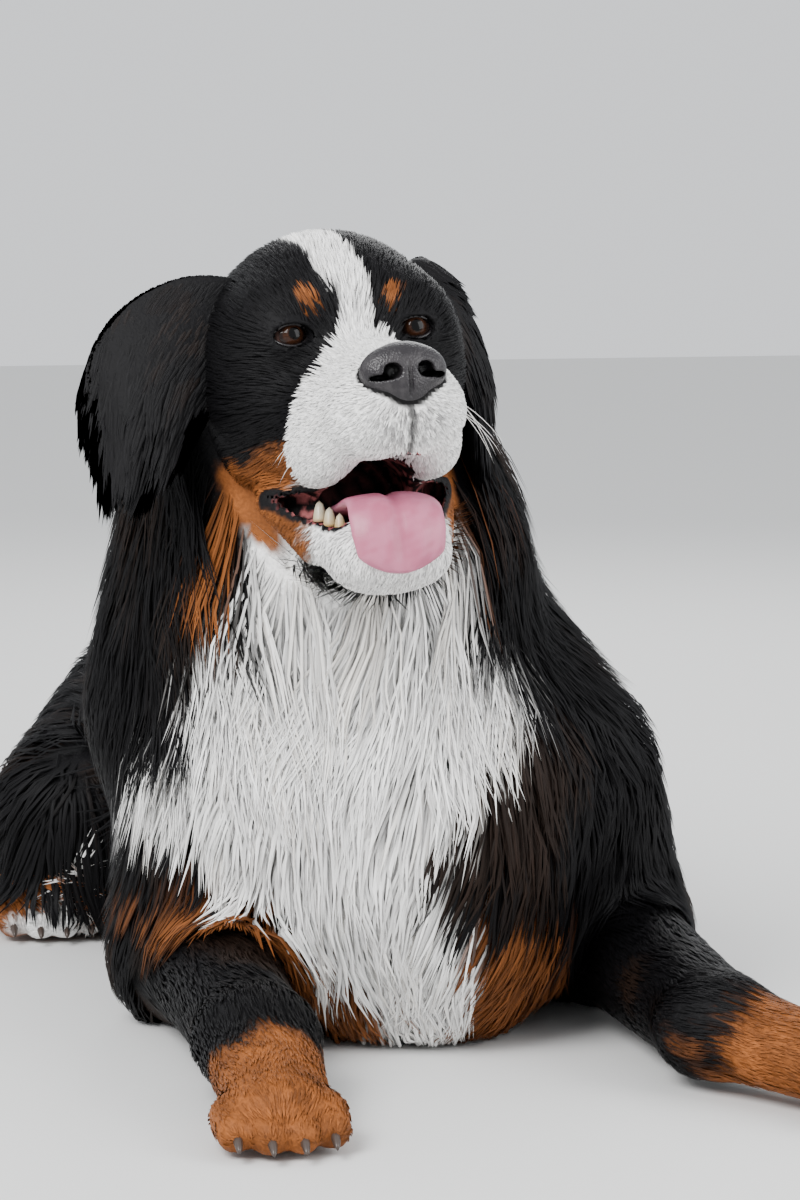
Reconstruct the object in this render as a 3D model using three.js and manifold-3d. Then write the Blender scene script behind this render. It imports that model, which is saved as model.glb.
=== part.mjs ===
// A life-size Bernese mountain dog that lies on its breast with its head up and its mouth open.
// Millimetres. The dog faces -Y, its left side is +X, +Z is up, and the floor is z = 0.
// The body is one field of limbs and masses. Each node is a three.js primitive moulded to that field,
// and the long coat is made of flat, tapered locks that follow it.
import * as THREE from "three";
import { mergeVertices } from "three/addons/utils/BufferGeometryUtils.js";
import Module from "manifold-3d";

const wasm = await Module();
wasm.setup();

const v = (x, y, z) => new THREE.Vector3(x, y, z);
const rad = THREE.MathUtils.degToRad;
const clamp = THREE.MathUtils.clamp;

// Driving dimensions of the animal.
const GAP = 0.35; // clearance between neighbouring solids
const WELD = 0.005; // points of a solid that are closer than this are one
const EYE_LINE = v(-87, -165, 494); // midpoint between the eyes
const HEAD_SCALE = 1.034;
const HEAD_TURN = rad(3.3);
const HEAD_LIFT = rad(-3.5);
const HEAD_ROLL = rad(-2.8);
const EYE_HALF_SPACING = 41;
const EYE_RADIUS = 12.5;
const EYE_DEPTH = -8; // centre of the eyeball in front of the eye line
const RIB_RADIUS = 135;
const RIB_WIDTH = 0.85; // width of the ribs as a share of their depth
const TRUNK_HEIGHT = 150; // middle of the trunk above the floor
const HIP_Y = 530;
const REAR_SHIFT = 15; // the rump lies a little to the dog's left
const TOE_SPACING = 20;
const TAIL_RADIUS = 20;

// Depth of the coat.
const RUFF_COAT = 45;
const BODY_COAT = 35;
const THIGH_COAT = 32;
const FOREARM_COAT = 13;
const FOOT_COAT = 6;
const SKULL_COAT = 10;
const CHEEK_COAT = 15;
const MUZZLE_COAT = 4;
const TAIL_COAT = 42;

// Locks of the long coat.
const CORE_SHARE = 0.5; // how far the core fills the depth of the coat
const LOCK_STEPS = 3;
const LOCK_THICKNESS = 6;
const ROOT_DEPTH = 9;
const LOCK_LENGTH = 105;
const LOCK_HALF_WIDTH = 24;

const COLOURS = {
  black: { color: 0x17161a, roughness: 0.85 },
  tan: { color: 0x8a4a1f, roughness: 0.85 },
  white: { color: 0xe9e6df, roughness: 0.85 },
  leather: { color: 0x2b2a2e, roughness: 0.5 },
  tongue: { color: 0xd79ab4, roughness: 0.4 },
  eye: { color: 0x2a1710, roughness: 0.08 },
};

// Soft forms. Their distances are signed, and grow = 1 adds the whole depth of the coat.
class Limb {
  constructor(from, to, r0, r1, { coat = 0, blend = 20, wide = 1 } = {}) {
    Object.assign(this, { from, r0, r1, coat, blend, wide });
    this.axis = to.clone().sub(from);
    this.axis.x /= wide;
    this.length2 = this.axis.lengthSq();
  }
  distance(p, grow) {
    const q = p.clone().sub(this.from);
    q.x /= this.wide;
    const t = clamp(q.dot(this.axis) / this.length2, 0, 1);
    const r = this.r0 + (this.r1 - this.r0) * t + this.coat * grow;
    return q.addScaledVector(this.axis, -t).length() - r;
  }
}

class Mass {
  constructor(centre, radii, { coat = 0, blend = 20 } = {}) {
    Object.assign(this, { centre, radii, coat, blend });
  }
  distance(p, grow) {
    const q = p.clone().sub(this.centre);
    const r = this.radii.clone().addScalar(this.coat * grow);
    const k0 = q.clone().divide(r).length();
    const k1 = q.divide(r.multiply(r)).length();
    return k1 < 1e-9 ? -Math.min(this.radii.x, this.radii.y, this.radii.z) : (k0 * (k0 - 1)) / k1;
  }
}

class Field {
  constructor(forms, frame = null, scale = 1) {
    this.forms = forms;
    this.scale = scale;
    this.inverse = frame ? frame.clone().invert() : null;
  }
  distance(p, grow) {
    const q = this.inverse ? p.clone().applyMatrix4(this.inverse) : p;
    let total = Infinity;
    for (const form of this.forms) {
      const d = form.distance(q, grow);
      const h = Math.max(form.blend - Math.abs(total - d), 0) / form.blend;
      total = Math.min(total, d) - (h * h * form.blend) / 4;
    }
    return total * this.scale;
  }
  // The point where a ray that starts inside leaves the form, pushed out by extra.
  surface(start, direction, grow, extra = 0) {
    const p = start.clone();
    for (let i = 0; i < 60; i += 1) {
      const d = this.distance(p, grow) - extra;
      p.addScaledVector(direction, Math.abs(d) > 0.02 ? -d * 0.9 : 0);
      if (Math.abs(d) < 0.02) break;
    }
    return p;
  }
  normal(p, grow) {
    const e = 1;
    const n = v(0, 0, 0);
    for (const axis of ["x", "y", "z"]) {
      const a = p.clone();
      const b = p.clone();
      a[axis] += e;
      b[axis] -= e;
      n[axis] = this.distance(a, grow) - this.distance(b, grow);
    }
    return n.normalize();
  }
}

const headFrame = new THREE.Matrix4()
  .makeRotationZ(HEAD_TURN)
  .multiply(new THREE.Matrix4().makeRotationX(HEAD_LIFT))
  .multiply(new THREE.Matrix4().makeRotationY(HEAD_ROLL))
  .scale(v(HEAD_SCALE, HEAD_SCALE, HEAD_SCALE))
  .setPosition(EYE_LINE);
const inHead = (x, y, z) => v(x, y, z).applyMatrix4(headFrame);
const line = (...points) => (points.length === 2 ? new THREE.LineCurve3(...points) : new THREE.CatmullRomCurve3(points));
const bothSides = (make) => [make(-1), make(1)];
const SIDES = [
  ["right", -1],
  ["left", 1],
];

// Forms of the head, from the midpoint of the eyes.
const headField = new Field(
  [
    new Mass(v(0, 46, 10), v(62, 64, 50), { coat: SKULL_COAT, blend: 24 }),
    ...bothSides((s) => new Mass(v(s * 36, 4, 15), v(20, 16, 12), { coat: 4, blend: 20 })),
    ...bothSides((s) => new Mass(v(s * 47, 30, -22), v(26, 42, 38), { coat: CHEEK_COAT, blend: 30 })),
    ...bothSides((s) => new Mass(v(s * 38, 32, -62), v(26, 36, 34), { coat: CHEEK_COAT, blend: 30 })),
    new Limb(v(0, -14, -28), v(0, -98, -31), 25, 21, { coat: MUZZLE_COAT, blend: 26 }),
    ...bothSides((s) => new Limb(v(s * 30, -12, -56), v(s * 20, -88, -50), 24, 22, { coat: MUZZLE_COAT, blend: 22 })),
    ...bothSides((s) => new Mass(v(s * 36, -38, -74), v(15, 34, 18), { coat: MUZZLE_COAT, blend: 18 })),
    new Mass(v(0, -96, -52), v(30, 22, 22), { coat: MUZZLE_COAT, blend: 18 }),
  ],
  headFrame,
  HEAD_SCALE,
);

const mouthField = new Field(
  [
    new Limb(v(0, 0, -104), v(0, -86, -98), 27, 22, { blend: 10, wide: 1.1 }),
    new Mass(v(0, -96, -84), v(14, 14, 16), { blend: 10 }),
  ],
  headFrame,
  HEAD_SCALE,
);

const jawField = new Field(
  [
    ...bothSides((s) => new Limb(v(s * 38, 14, -88), v(s * 17, -66, -136), 20, 14, { coat: MUZZLE_COAT, blend: 14 })),
    new Mass(v(0, -64, -141), v(29, 25, 13), { coat: MUZZLE_COAT, blend: 20 }),
    new Limb(v(0, 20, -108), v(0, -46, -138), 30, 18, { coat: MUZZLE_COAT, blend: 24, wide: 1.3 }),
    ...bothSides((s) => new Limb(v(s * 55, 2, -104), v(s * 42, -34, -132), 9, 8, { blend: 12 })),
  ],
  headFrame,
  HEAD_SCALE,
);

const TONGUE = [v(0, 0, -112), v(0, -70, -108), v(1, -92, -114), v(2, -98, -142)];
const tongueField = new Field(
  [
    new Limb(TONGUE[0], TONGUE[1], 14, 9, { blend: 12, wide: 2.2 }),
    new Limb(TONGUE[1], TONGUE[2], 9, 8, { blend: 10, wide: 3.2 }),
    new Limb(TONGUE[2], TONGUE[3], 8, 6, { blend: 10, wide: 3.6 }),
  ],
  headFrame,
  HEAD_SCALE,
);

const noseField = new Field(
  [
    new Mass(v(0, -112, -22), v(24, 13, 15), { blend: 10 }),
    new Mass(v(0, -114, -36), v(11, 10, 12), { blend: 12 }),
    ...bothSides((s) => new Mass(v(s * 16, -110, -26), v(11, 11, 11), { blend: 8 })),
  ],
  headFrame,
  HEAD_SCALE,
);

// Forms of the neck, which leans to the dog's right.
const NECK_BASE = v(-58, 10, 235);
const NECK_TOP = v(-86, -68, 425);
const neckField = new Field([
  new Limb(NECK_BASE, NECK_TOP, 114, 72, { coat: RUFF_COAT, blend: 40, wide: 1.12 }),
  new Limb(NECK_TOP, v(-88, -84, 448), 64, 50, { coat: 18, blend: 40 }),
  new Mass(v(-64, -98, 320), v(80, 50, 80), { coat: RUFF_COAT, blend: 40 }),
]);

// Forms of the trunk.
const RUMP = v(REAR_SHIFT, HIP_Y + 10, TRUNK_HEIGHT - 2);
const BARREL_START = v(-18, 140, TRUNK_HEIGHT);
const BARREL_END = v(-5, 350, TRUNK_HEIGHT);
const trunkPath = line(v(-28, -75, 165), BARREL_START, BARREL_END, RUMP);
const trunkField = new Field([
  new Limb(v(-25, -10, TRUNK_HEIGHT + 5), BARREL_END, RIB_RADIUS, RIB_RADIUS - 6, {
    coat: BODY_COAT,
    blend: 50,
    wide: RIB_WIDTH,
  }),
  new Mass(v(-8, -35, 108), v(90, 110, 98), { coat: BODY_COAT, blend: 50 }),
  new Mass(v(-30, -90, 185), v(88, 56, 85), { coat: RUFF_COAT, blend: 50 }),
  new Mass(v(-46, 60, 250), v(60, 105, 48), { coat: BODY_COAT, blend: 50 }),
  ...bothSides((s) => new Mass(v(-32 + s * 92, -12, 180), v(46, 80, 90), { coat: BODY_COAT, blend: 50 })),
  new Limb(BARREL_END, v(RUMP.x - 3, RUMP.y - 60, TRUNK_HEIGHT), RIB_RADIUS - 6, 122, {
    coat: BODY_COAT,
    blend: 50,
    wide: RIB_WIDTH,
  }),
  new Mass(RUMP, v(105, 105, 122), { coat: BODY_COAT, blend: 50 }),
]);

// Joints of the legs.
const LEGS = {
  right: {
    shoulder: v(-118, -60, 170),
    elbow: v(-152, 10, 52),
    wrist: v(-163, -228, 40),
    toe: v(-176, -352, 24),
    hip: v(REAR_SHIFT - 66, HIP_Y - 5, 128),
    knee: v(REAR_SHIFT - 190, HIP_Y - 172, 84),
    hock: v(REAR_SHIFT - 198, HIP_Y + 5, 44),
    hindToe: v(REAR_SHIFT - 218, HIP_Y - 200, 24),
  },
  left: {
    shoulder: v(88, -60, 170),
    elbow: v(146, 0, 52),
    wrist: v(138, -270, 40),
    toe: v(212, -388, 24),
    hip: v(REAR_SHIFT + 72, HIP_Y - 5, 132),
    knee: v(REAR_SHIFT + 165, HIP_Y - 165, 100),
    hock: v(REAR_SHIFT + 165, HIP_Y + 5, 44),
    hindToe: v(REAR_SHIFT + 195, HIP_Y - 200, 24),
  },
};

const TAIL = [
  v(REAR_SHIFT, HIP_Y + 80, 190),
  v(REAR_SHIFT - 4, HIP_Y + 155, 125),
  v(REAR_SHIFT + 16, HIP_Y + 235, 62),
  v(REAR_SHIFT + 85, HIP_Y + 315, 46),
  v(REAR_SHIFT + 180, HIP_Y + 365, 42),
];

// Sets a closed sphere of rows and columns round a path and pushes each point out to the surface.
function mould(field, path, options) {
  const { sides, rows, grow = 1, flatStart = false, flatEnd = false, extra = 0, up = v(0, 0, 1) } = options;
  const [from, to] = options.span ?? [0, 1];
  const geometry = new THREE.SphereGeometry(1, sides, rows);
  const positions = geometry.attributes.position;
  const uvs = geometry.attributes.uv;
  const endRows = Math.round(sides / 4);
  const first = flatStart ? 1 : endRows;
  const last = flatEnd ? rows - 1 : rows - endRows;
  for (let i = 0; i < positions.count; i += 1) {
    const row = Math.round((1 - uvs.getY(i)) * rows);
    const column = Math.atan2(positions.getZ(i), -positions.getX(i));
    let latitude = Math.PI / 2;
    if (!flatStart && row < first) latitude = (Math.PI / 2) * (row / first);
    if (!flatEnd && row > last) latitude = (Math.PI / 2) * (1 + (row - last) / (rows - last));
    const t = from + (to - from) * clamp((row - first) / (last - first), 0, 1);
    const anchor = path.getPoint(t);
    const along = path.getTangent(t);
    const side = along.clone().cross(up).normalize();
    const over = side.clone().cross(along);
    const direction = along
      .clone()
      .multiplyScalar(-Math.cos(latitude))
      .addScaledVector(side, Math.sin(latitude) * Math.cos(column))
      .addScaledVector(over, Math.sin(latitude) * Math.sin(column));
    if (flatStart && row <= 1) anchor.addScaledVector(along, -extra);
    if (flatEnd && row >= rows - 1) anchor.addScaledVector(along, extra);
    const flatPole = (flatStart && row === 0) || (flatEnd && row === rows);
    const p = flatPole ? anchor : field.surface(anchor, direction, grow, extra);
    positions.setXYZ(i, p.x, p.y, p.z);
  }
  return solid(geometry);
}

// Turns a closed geometry into a solid that can be joined and cut.
function solid(geometry) {
  geometry.deleteAttribute("normal");
  geometry.deleteAttribute("uv");
  const merged = mergeVertices(geometry, 1e-4);
  const mesh = new wasm.Mesh({
    numProp: 3,
    vertProperties: new Float32Array(merged.attributes.position.array),
    triVerts: new Uint32Array(merged.index.array),
    tolerance: WELD,
  });
  return new wasm.Manifold(mesh);
}

const largest = (body) => body.decompose().reduce((best, each) => (each.volume() > best.volume() ? each : best));

function overlaps(a, b) {
  const p = a.boundingBox();
  const q = b.boundingBox();
  return [0, 1, 2].every((k) => p.min[k] < q.max[k] && q.min[k] < p.max[k]);
}

const slab = new THREE.BoxGeometry(3000, 3000, 200);
slab.translate(0, 0, -100);
const underFloor = solid(slab);

// A seeded stream of random numbers from 0 to 1.
function randomFrom(seed) {
  let state = seed;
  return () => {
    state = (state + 0x6d2b79f5) | 0;
    let t = Math.imul(state ^ (state >>> 15), 1 | state);
    t = (t + Math.imul(t ^ (t >>> 7), 61 | t)) ^ t;
    return ((t ^ (t >>> 14)) >>> 0) / 4294967296;
  };
}

// The way the coat lies: down the throat and breast, and back along the trunk.
function bodyLie(p) {
  const back = THREE.MathUtils.smoothstep(p.y, -130, 60);
  return v(0, back, -1 + 0.6 * back);
}
const neckLie = (p) => v(0, 0.5 * THREE.MathUtils.smoothstep(p.y, -120, 80), -1);

// The run of one lock: points that leave the core at the root and reach the full coat at the tip.
function lockRun(field, root, lie, length, sway) {
  const run = [];
  const p = root.clone();
  for (let i = 0; i <= LOCK_STEPS; i += 1) {
    const s = i / LOCK_STEPS;
    const grow = CORE_SHARE + (0.97 - CORE_SHARE) * Math.min(1, s * 1.35);
    const sink = i === 0 ? ROOT_DEPTH : 0;
    for (let k = 0; k < 4; k += 1) {
      p.addScaledVector(field.normal(p, grow), -(field.distance(p, grow) + sink));
    }
    const out = field.normal(p, grow);
    const along = lie(p);
    along.addScaledVector(out, -along.dot(out)).normalize();
    along.applyAxisAngle(out, sway * (s - 0.3));
    run.push({ p: p.clone(), out, along, s });
    p.addScaledVector(along, length / LOCK_STEPS);
  }
  return run;
}

// One flat, tapered lock with three sides. Its ridge faces out.
function lock({ run, half, thick }, extra) {
  const geometry = new THREE.ConeGeometry(1, 1, 3, LOCK_STEPS);
  const positions = geometry.attributes.position;
  for (let i = 0; i < positions.count; i += 1) {
    const step = Math.round((0.5 + positions.getY(i)) * LOCK_STEPS);
    const { p, out, along, s } = run[step];
    const across = along.clone().cross(out);
    const tip = step === LOCK_STEPS;
    const centre = Math.hypot(positions.getX(i), positions.getZ(i)) < 1e-6;
    const angle = Math.atan2(positions.getX(i), positions.getZ(i));
    const taper = (0.7 + 1.3 * s) * (1 - s * s * s);
    const w = centre ? 0 : half * taper + extra;
    const t = centre ? 0 : thick * (1 - 0.75 * s) + extra;
    const q = p.clone().addScaledVector(across, (w * Math.sin(angle)) / 0.866).addScaledVector(out, t * Math.cos(angle));
    if (tip) q.addScaledVector(along, 3 * extra);
    if (step === 0) q.addScaledVector(along, -extra);
    positions.setXYZ(i, q.x, q.y, q.z);
  }
  return solid(geometry);
}

// True where a lock runs on from its last point without a fold.
function followsOn({ p, out, along }, i, run) {
  if (i === 0) return true;
  const last = run[i - 1];
  const straight = last.along.dot(along) > 0.6 && last.out.dot(out) > 0.6;
  return straight && p.clone().sub(last.p).normalize().dot(along) > 0.6;
}

// Rows of locks round a stretch of a path, each row staggered against the last.
function coat(field, path, { lie, rows, columns, span, arc = [0, 360], length, half, up = v(0, 0, 1), seed, bare }) {
  const random = randomFrom(seed);
  const locks = [];
  for (let row = 0; row < rows; row += 1) {
    const t = THREE.MathUtils.lerp(span[0], span[1], rows > 1 ? row / (rows - 1) : 0.5);
    const anchor = path.getPoint(t);
    const along = path.getTangent(t);
    const side = along.clone().cross(up).normalize();
    for (let column = 0; column < columns; column += 1) {
      const share = (column + (row % 2 ? 0.5 : 0) + 0.3 * (random() - 0.5)) / columns;
      const angle = rad(THREE.MathUtils.lerp(arc[0], arc[1], share));
      const direction = side.clone().applyAxisAngle(along, -angle);
      const root = field.surface(anchor, direction, CORE_SHARE);
      const reach = length * (0.85 + 0.3 * random());
      const sway = 0.7 * (random() - 0.5);
      const width = half * (0.85 + 0.3 * random());
      if (bare(root)) continue;
      locks.push({ run: lockRun(field, root, lie, reach, sway), half: width, thick: LOCK_THICKNESS });
    }
  }
  return locks.filter(({ run }) => run.every(({ p }) => p.z > 12) && run.every(followsOn));
}

// Joins a core with its locks.
const coated = (core, locks, extra) => wasm.Manifold.union([core, ...locks.map((each) => lock(each, extra))]);

// Each piece is made once at its size, and once pushed out by the gap to cut the pieces that come after it.
const pieces = [];
function addPiece(name, look, make, hollows = []) {
  let body = make(0);
  for (const hollow of hollows) body = body.subtract(hollow);
  for (const earlier of pieces) {
    if (overlaps(body, earlier.cutter)) body = body.subtract(earlier.cutter);
  }
  pieces.push({ name, look, body: largest(body.subtract(underFloor)), cutter: wasm.Manifold.union([make(GAP), make(0)]) });
}

function ball(centre, radius, sides, rows) {
  const geometry = new THREE.SphereGeometry(radius, sides, rows);
  geometry.applyMatrix4(new THREE.Matrix4().makeTranslation(centre.x, centre.y, centre.z));
  return solid(geometry);
}

// Head.
const mouth = mould(mouthField, line(inHead(0, 0, -103), inHead(0, -96, -92)), { sides: 12, rows: 10 });
const nosePath = line(inHead(0, -104, -26), inHead(0, -116, -26));
const nostrils = bothSides((s) => ball(inHead(s * 10, -125, -25), 5.5, 6, 4));
addPiece("nose", "leather", (extra) => mould(noseField, nosePath, { sides: 12, rows: 8, extra }), nostrils);
for (const [name, s] of SIDES) {
  const centre = inHead(s * EYE_HALF_SPACING, EYE_DEPTH, 0);
  addPiece(`eye_${name}`, "eye", (extra) => ball(centre, EYE_RADIUS + extra, 10, 7));
}
const tonguePath = line(...TONGUE.map((p) => inHead(p.x, p.y, p.z)));
addPiece("tongue", "tongue", (extra) => mould(tongueField, tonguePath, { sides: 12, rows: 12, extra }));
const eyeOpenings = bothSides((s) => {
  const opening = new THREE.SphereGeometry(1, 10, 6);
  opening.applyMatrix4(new THREE.Matrix4().makeScale(15, 14, 9.5).setPosition(s * EYE_HALF_SPACING, EYE_DEPTH - 13, 0));
  return solid(opening.applyMatrix4(headFrame));
});
const lids = bothSides((s) => {
  const ring = new THREE.TorusGeometry(13, 3, 4, 10);
  const place = new THREE.Matrix4().makeTranslation(s * EYE_HALF_SPACING, EYE_DEPTH - 6, 0);
  place.multiply(new THREE.Matrix4().makeRotationY(rad(-8 * s))).multiply(new THREE.Matrix4().makeRotationX(Math.PI / 2));
  place.multiply(new THREE.Matrix4().makeScale(1.1, 0.78, 1));
  return solid(ring.applyMatrix4(place).applyMatrix4(headFrame));
});
const headPath = line(inHead(0, 52, -8), inHead(0, -88, -38));
addPiece(
  "head",
  "black",
  (extra) => {
    const skull = mould(headField, headPath, { sides: 18, rows: 18, extra });
    return extra > 0 ? skull : wasm.Manifold.union([skull.subtract(wasm.Manifold.union(eyeOpenings)), ...lids]);
  },
  [mouth],
);
const jawPath = line(inHead(0, 10, -110), inHead(0, -62, -138));
addPiece("lower_jaw", "white", (extra) => mould(jawField, jawPath, { sides: 14, rows: 10, extra }), [mouth]);
const jaw = pieces[pieces.length - 1];
const TEETH = [
  [-27, -30, -122, 4.5, 17],
  [-24, -41, -127, 4.2, 16],
  [-21, -52, -131, 4, 15],
  [19, -68, -134, 4, 24],
];
const teeth = TEETH.map(([x, y, z, radius, height]) => {
  const tooth = new THREE.ConeGeometry(radius, height, 6);
  tooth.rotateX(Math.PI / 2);
  tooth.translate(x, y, z + height / 2);
  return solid(tooth.applyMatrix4(headFrame));
});
const mouthPieces = wasm.Manifold.union(pieces.filter((each) => each !== jaw).map((each) => each.cutter));
jaw.body = largest(wasm.Manifold.union([jaw.body, ...teeth.map((tooth) => tooth.subtract(mouthPieces))]));

// Drop ears: a leaf of even thickness that curls round its cup. The right one is flung out.
const EARS = {
  right: {
    path: line(inHead(-48, 38, 36), inHead(-88, 38, 26), inHead(-130, 32, -26), inHead(-150, 24, -94)),
    face: v(-0.3, -0.95, 0),
    half: [12, 58],
  },
  left: {
    path: line(inHead(50, 38, 36), inHead(86, 40, 26), inHead(103, 32, -26), inHead(99, 24, -80)),
    face: v(0.88, -0.45, 0),
    half: [12, 46],
  },
};
function ear({ path, face, half }, extra) {
  const geometry = new THREE.SphereGeometry(1, 12, 10);
  const positions = geometry.attributes.position;
  const uvs = geometry.attributes.uv;
  for (let i = 0; i < positions.count; i += 1) {
    const polar = (1 - uvs.getY(i)) * Math.PI;
    const column = Math.atan2(positions.getZ(i), -positions.getX(i));
    const t = (1 - Math.cos(polar)) / 2;
    const round = Math.sqrt(Math.max(Math.sin(polar), 0));
    const pole = round < 1e-4;
    const across = pole ? 0 : THREE.MathUtils.lerp(half[0], half[1], Math.sin(Math.PI * 0.8 * t)) * round + extra;
    const thick = pole ? 0 : 9 * round + extra;
    const along = path.getTangent(t);
    const wide = along.clone().cross(face).normalize();
    const out = wide.clone().cross(along);
    const p = path.getPoint(t);
    p.addScaledVector(wide, across * Math.cos(column));
    p.addScaledVector(out, thick * Math.sin(column) - 0.25 * across * Math.cos(column) ** 2);
    positions.setXYZ(i, p.x, p.y, p.z);
  }
  return solid(geometry);
}
// Locks that hang past the edge of an ear.
function fringe({ path, face, half }) {
  return [-0.75, -0.25, 0.25, 0.75].map((place) => {
    const start = 0.62 - 0.12 * Math.abs(place);
    const run = Array.from({ length: LOCK_STEPS + 1 }, (_, i) => {
      const s = i / LOCK_STEPS;
      const t = Math.min(start + 0.38 * s, 1);
      const along = path.getTangent(t);
      const wide = along.clone().cross(face).normalize();
      const out = wide.clone().cross(along);
      const p = path.getPoint(t).addScaledVector(wide, place * half[1] * (1 - 0.3 * s));
      p.addScaledVector(along, Math.max(0, start + 0.38 * s - 1) * 160 + 14 * s);
      return { p: p.addScaledVector(out, 2 + 4 * s - 0.25 * half[1] * place * place), out, along, s };
    });
    return { run, half: 16, thick: LOCK_THICKNESS };
  });
}
for (const [name] of SIDES) {
  const edge = fringe(EARS[name]);
  addPiece(`ear_${name}`, "black", (extra) => coated(ear(EARS[name], extra), edge, extra));
}

// Four toes with their claws, side by side at the end of a foot.
function toes(heel, tip) {
  const forward = tip.clone().sub(heel).setZ(0).normalize();
  const across = forward.clone().cross(v(0, 0, 1));
  const turn = Math.atan2(-forward.x, forward.y);
  return [-1.5, -0.5, 0.5, 1.5].flatMap((place) => {
    const inner = Math.abs(place) < 1;
    const centre = tip.clone().addScaledVector(across, place * TOE_SPACING).addScaledVector(forward, inner ? 14 : 4);
    const toe = new THREE.SphereGeometry(1, 6, 4);
    toe.applyMatrix4(new THREE.Matrix4().makeScale(12.5, 26, 17));
    const claw = new THREE.ConeGeometry(3.2, 18, 4);
    claw.rotateX(rad(-12));
    claw.translate(0, 26, -8);
    return [toe, claw].map((each) => {
      each.rotateZ(turn);
      each.translate(centre.x, centre.y, 20);
      return solid(each);
    });
  });
}

// Neck, chest and forelegs.
const neckPath = line(NECK_BASE, NECK_TOP);
const ruff = coat(neckField, neckPath, {
  lie: neckLie,
  rows: 4,
  columns: 8,
  span: [0.26, 0.96],
  length: LOCK_LENGTH,
  half: LOCK_HALF_WIDTH + 6,
  up: v(0, 1, 0),
  seed: 44,
  bare: (p) => headField.distance(p, 1) < 6 || jawField.distance(p, 1) < 6,
});
addPiece("neck", "black", (extra) => {
  const options = { sides: 18, rows: 9, flatStart: true, extra, grow: CORE_SHARE, up: v(0, 1, 0) };
  return coated(mould(neckField, neckPath, options), ruff, extra);
});
for (const [name] of SIDES) {
  const { elbow, wrist, toe } = LEGS[name];
  const pawField = new Field([
    new Limb(wrist, toe, 27, 20, { coat: FOOT_COAT, blend: 16, wide: 1.35 }),
    new Limb(elbow, wrist, 38, 27, { coat: FOREARM_COAT, blend: 20 }),
  ]);
  const digits = toes(wrist, toe);
  addPiece(`front_paw_${name}`, "tan", (extra) =>
    wasm.Manifold.union([mould(pawField, line(wrist, toe), { sides: 12, rows: 8, flatStart: true, extra }), ...digits]),
  );
  addPiece(`forearm_${name}`, "black", (extra) =>
    mould(pawField, line(elbow, wrist), { sides: 12, rows: 8, flatEnd: true, extra }),
  );
}
const bib = coat(trunkField, line(v(-45, -70, 290), v(-20, -60, 60)), {
  lie: bodyLie,
  rows: 4,
  columns: 5,
  span: [0.1, 0.85],
  arc: [-170, -10],
  length: LOCK_LENGTH,
  half: LOCK_HALF_WIDTH + 4,
  up: v(0, 1, 0),
  seed: 12,
  bare: (p) => p.z < 60 || neckField.distance(p, 1) < -6,
});
const ribs = coat(trunkField, trunkPath, {
  lie: bodyLie,
  rows: 2,
  columns: 6,
  span: [0.14, 0.28],
  arc: [-30, 210],
  length: LOCK_LENGTH,
  half: LOCK_HALF_WIDTH + 8,
  seed: 22,
  bare: (p) => p.z < 50 || neckField.distance(p, 1) < -6,
});
const breast = [...bib, ...ribs];
addPiece("chest", "white", (extra) => {
  const options = { sides: 18, rows: 10, span: [0, 1 / 3], flatEnd: true, grow: CORE_SHARE, extra };
  return coated(mould(trunkField, trunkPath, options), breast, extra);
});
for (const [name, s] of SIDES) {
  const { shoulder, elbow } = LEGS[name];
  const armField = new Field([new Limb(shoulder, elbow, 58, 44, { coat: FOREARM_COAT + 12 })]);
  const sleeve = coat(armField, line(shoulder, elbow), {
    lie: () => v(0, 0.35, -1),
    rows: 2,
    columns: 3,
    span: [0.35, 0.75],
    arc: s < 0 ? [60, 300] : [-120, 120],
    length: 80,
    half: LOCK_HALF_WIDTH - 2,
    seed: 50 + s,
    bare: (p) => p.z < 40 || trunkField.distance(p, CORE_SHARE) < 6,
  });
  addPiece(`upper_arm_${name}`, "black", (extra) =>
    coated(mould(armField, line(shoulder, elbow), { sides: 10, rows: 8, grow: CORE_SHARE, extra }), sleeve, extra),
  );
}

// Barrel, rump, hind legs and tail.
const flank = coat(trunkField, trunkPath, {
  lie: bodyLie,
  rows: 3,
  columns: 5,
  span: [0.38, 0.62],
  arc: [-20, 200],
  length: LOCK_LENGTH,
  half: LOCK_HALF_WIDTH + 8,
  seed: 13,
  bare: (p) => p.z < 50,
});
addPiece("barrel", "black", (extra) => {
  const options = { sides: 18, rows: 5, span: [1 / 3, 2 / 3], flatStart: true, flatEnd: true, grow: CORE_SHARE, extra };
  return coated(mould(trunkField, trunkPath, options), flank, extra);
});
for (const [name, s] of SIDES) {
  const { hip, knee, hock, hindToe } = LEGS[name];
  const footField = new Field([new Limb(hock, hindToe, 26, 22, { coat: FOOT_COAT, wide: 1.3 })]);
  const lowerField = new Field([new Limb(knee, hock, 46, 30, { coat: FOREARM_COAT })]);
  const thighField = new Field([new Limb(hip, knee, 84, 50, { coat: THIGH_COAT })]);
  const digits = toes(hock, hindToe);
  addPiece(`hind_foot_${name}`, "tan", (extra) =>
    wasm.Manifold.union([mould(footField, line(hock, hindToe), { sides: 12, rows: 8, extra }), ...digits]),
  );
  addPiece(`lower_leg_${name}`, "black", (extra) => mould(lowerField, line(knee, hock), { sides: 10, rows: 8, extra }));
  const breeches = coat(thighField, line(knee, hip), {
    lie: (p) => v(0, 1, -0.75),
    rows: 2,
    columns: 4,
    span: [0.1, 0.7],
    arc: s < 0 ? [-70, 90] : [90, 250],
    length: 85,
    half: LOCK_HALF_WIDTH,
    seed: 17 + s,
    bare: (p) => p.z < 40 || trunkField.distance(p, CORE_SHARE) < 8,
  });
  addPiece(`thigh_${name}`, "black", (extra) =>
    coated(mould(thighField, line(hip, knee), { sides: 14, rows: 9, grow: CORE_SHARE, extra }), breeches, extra),
  );
}
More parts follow.
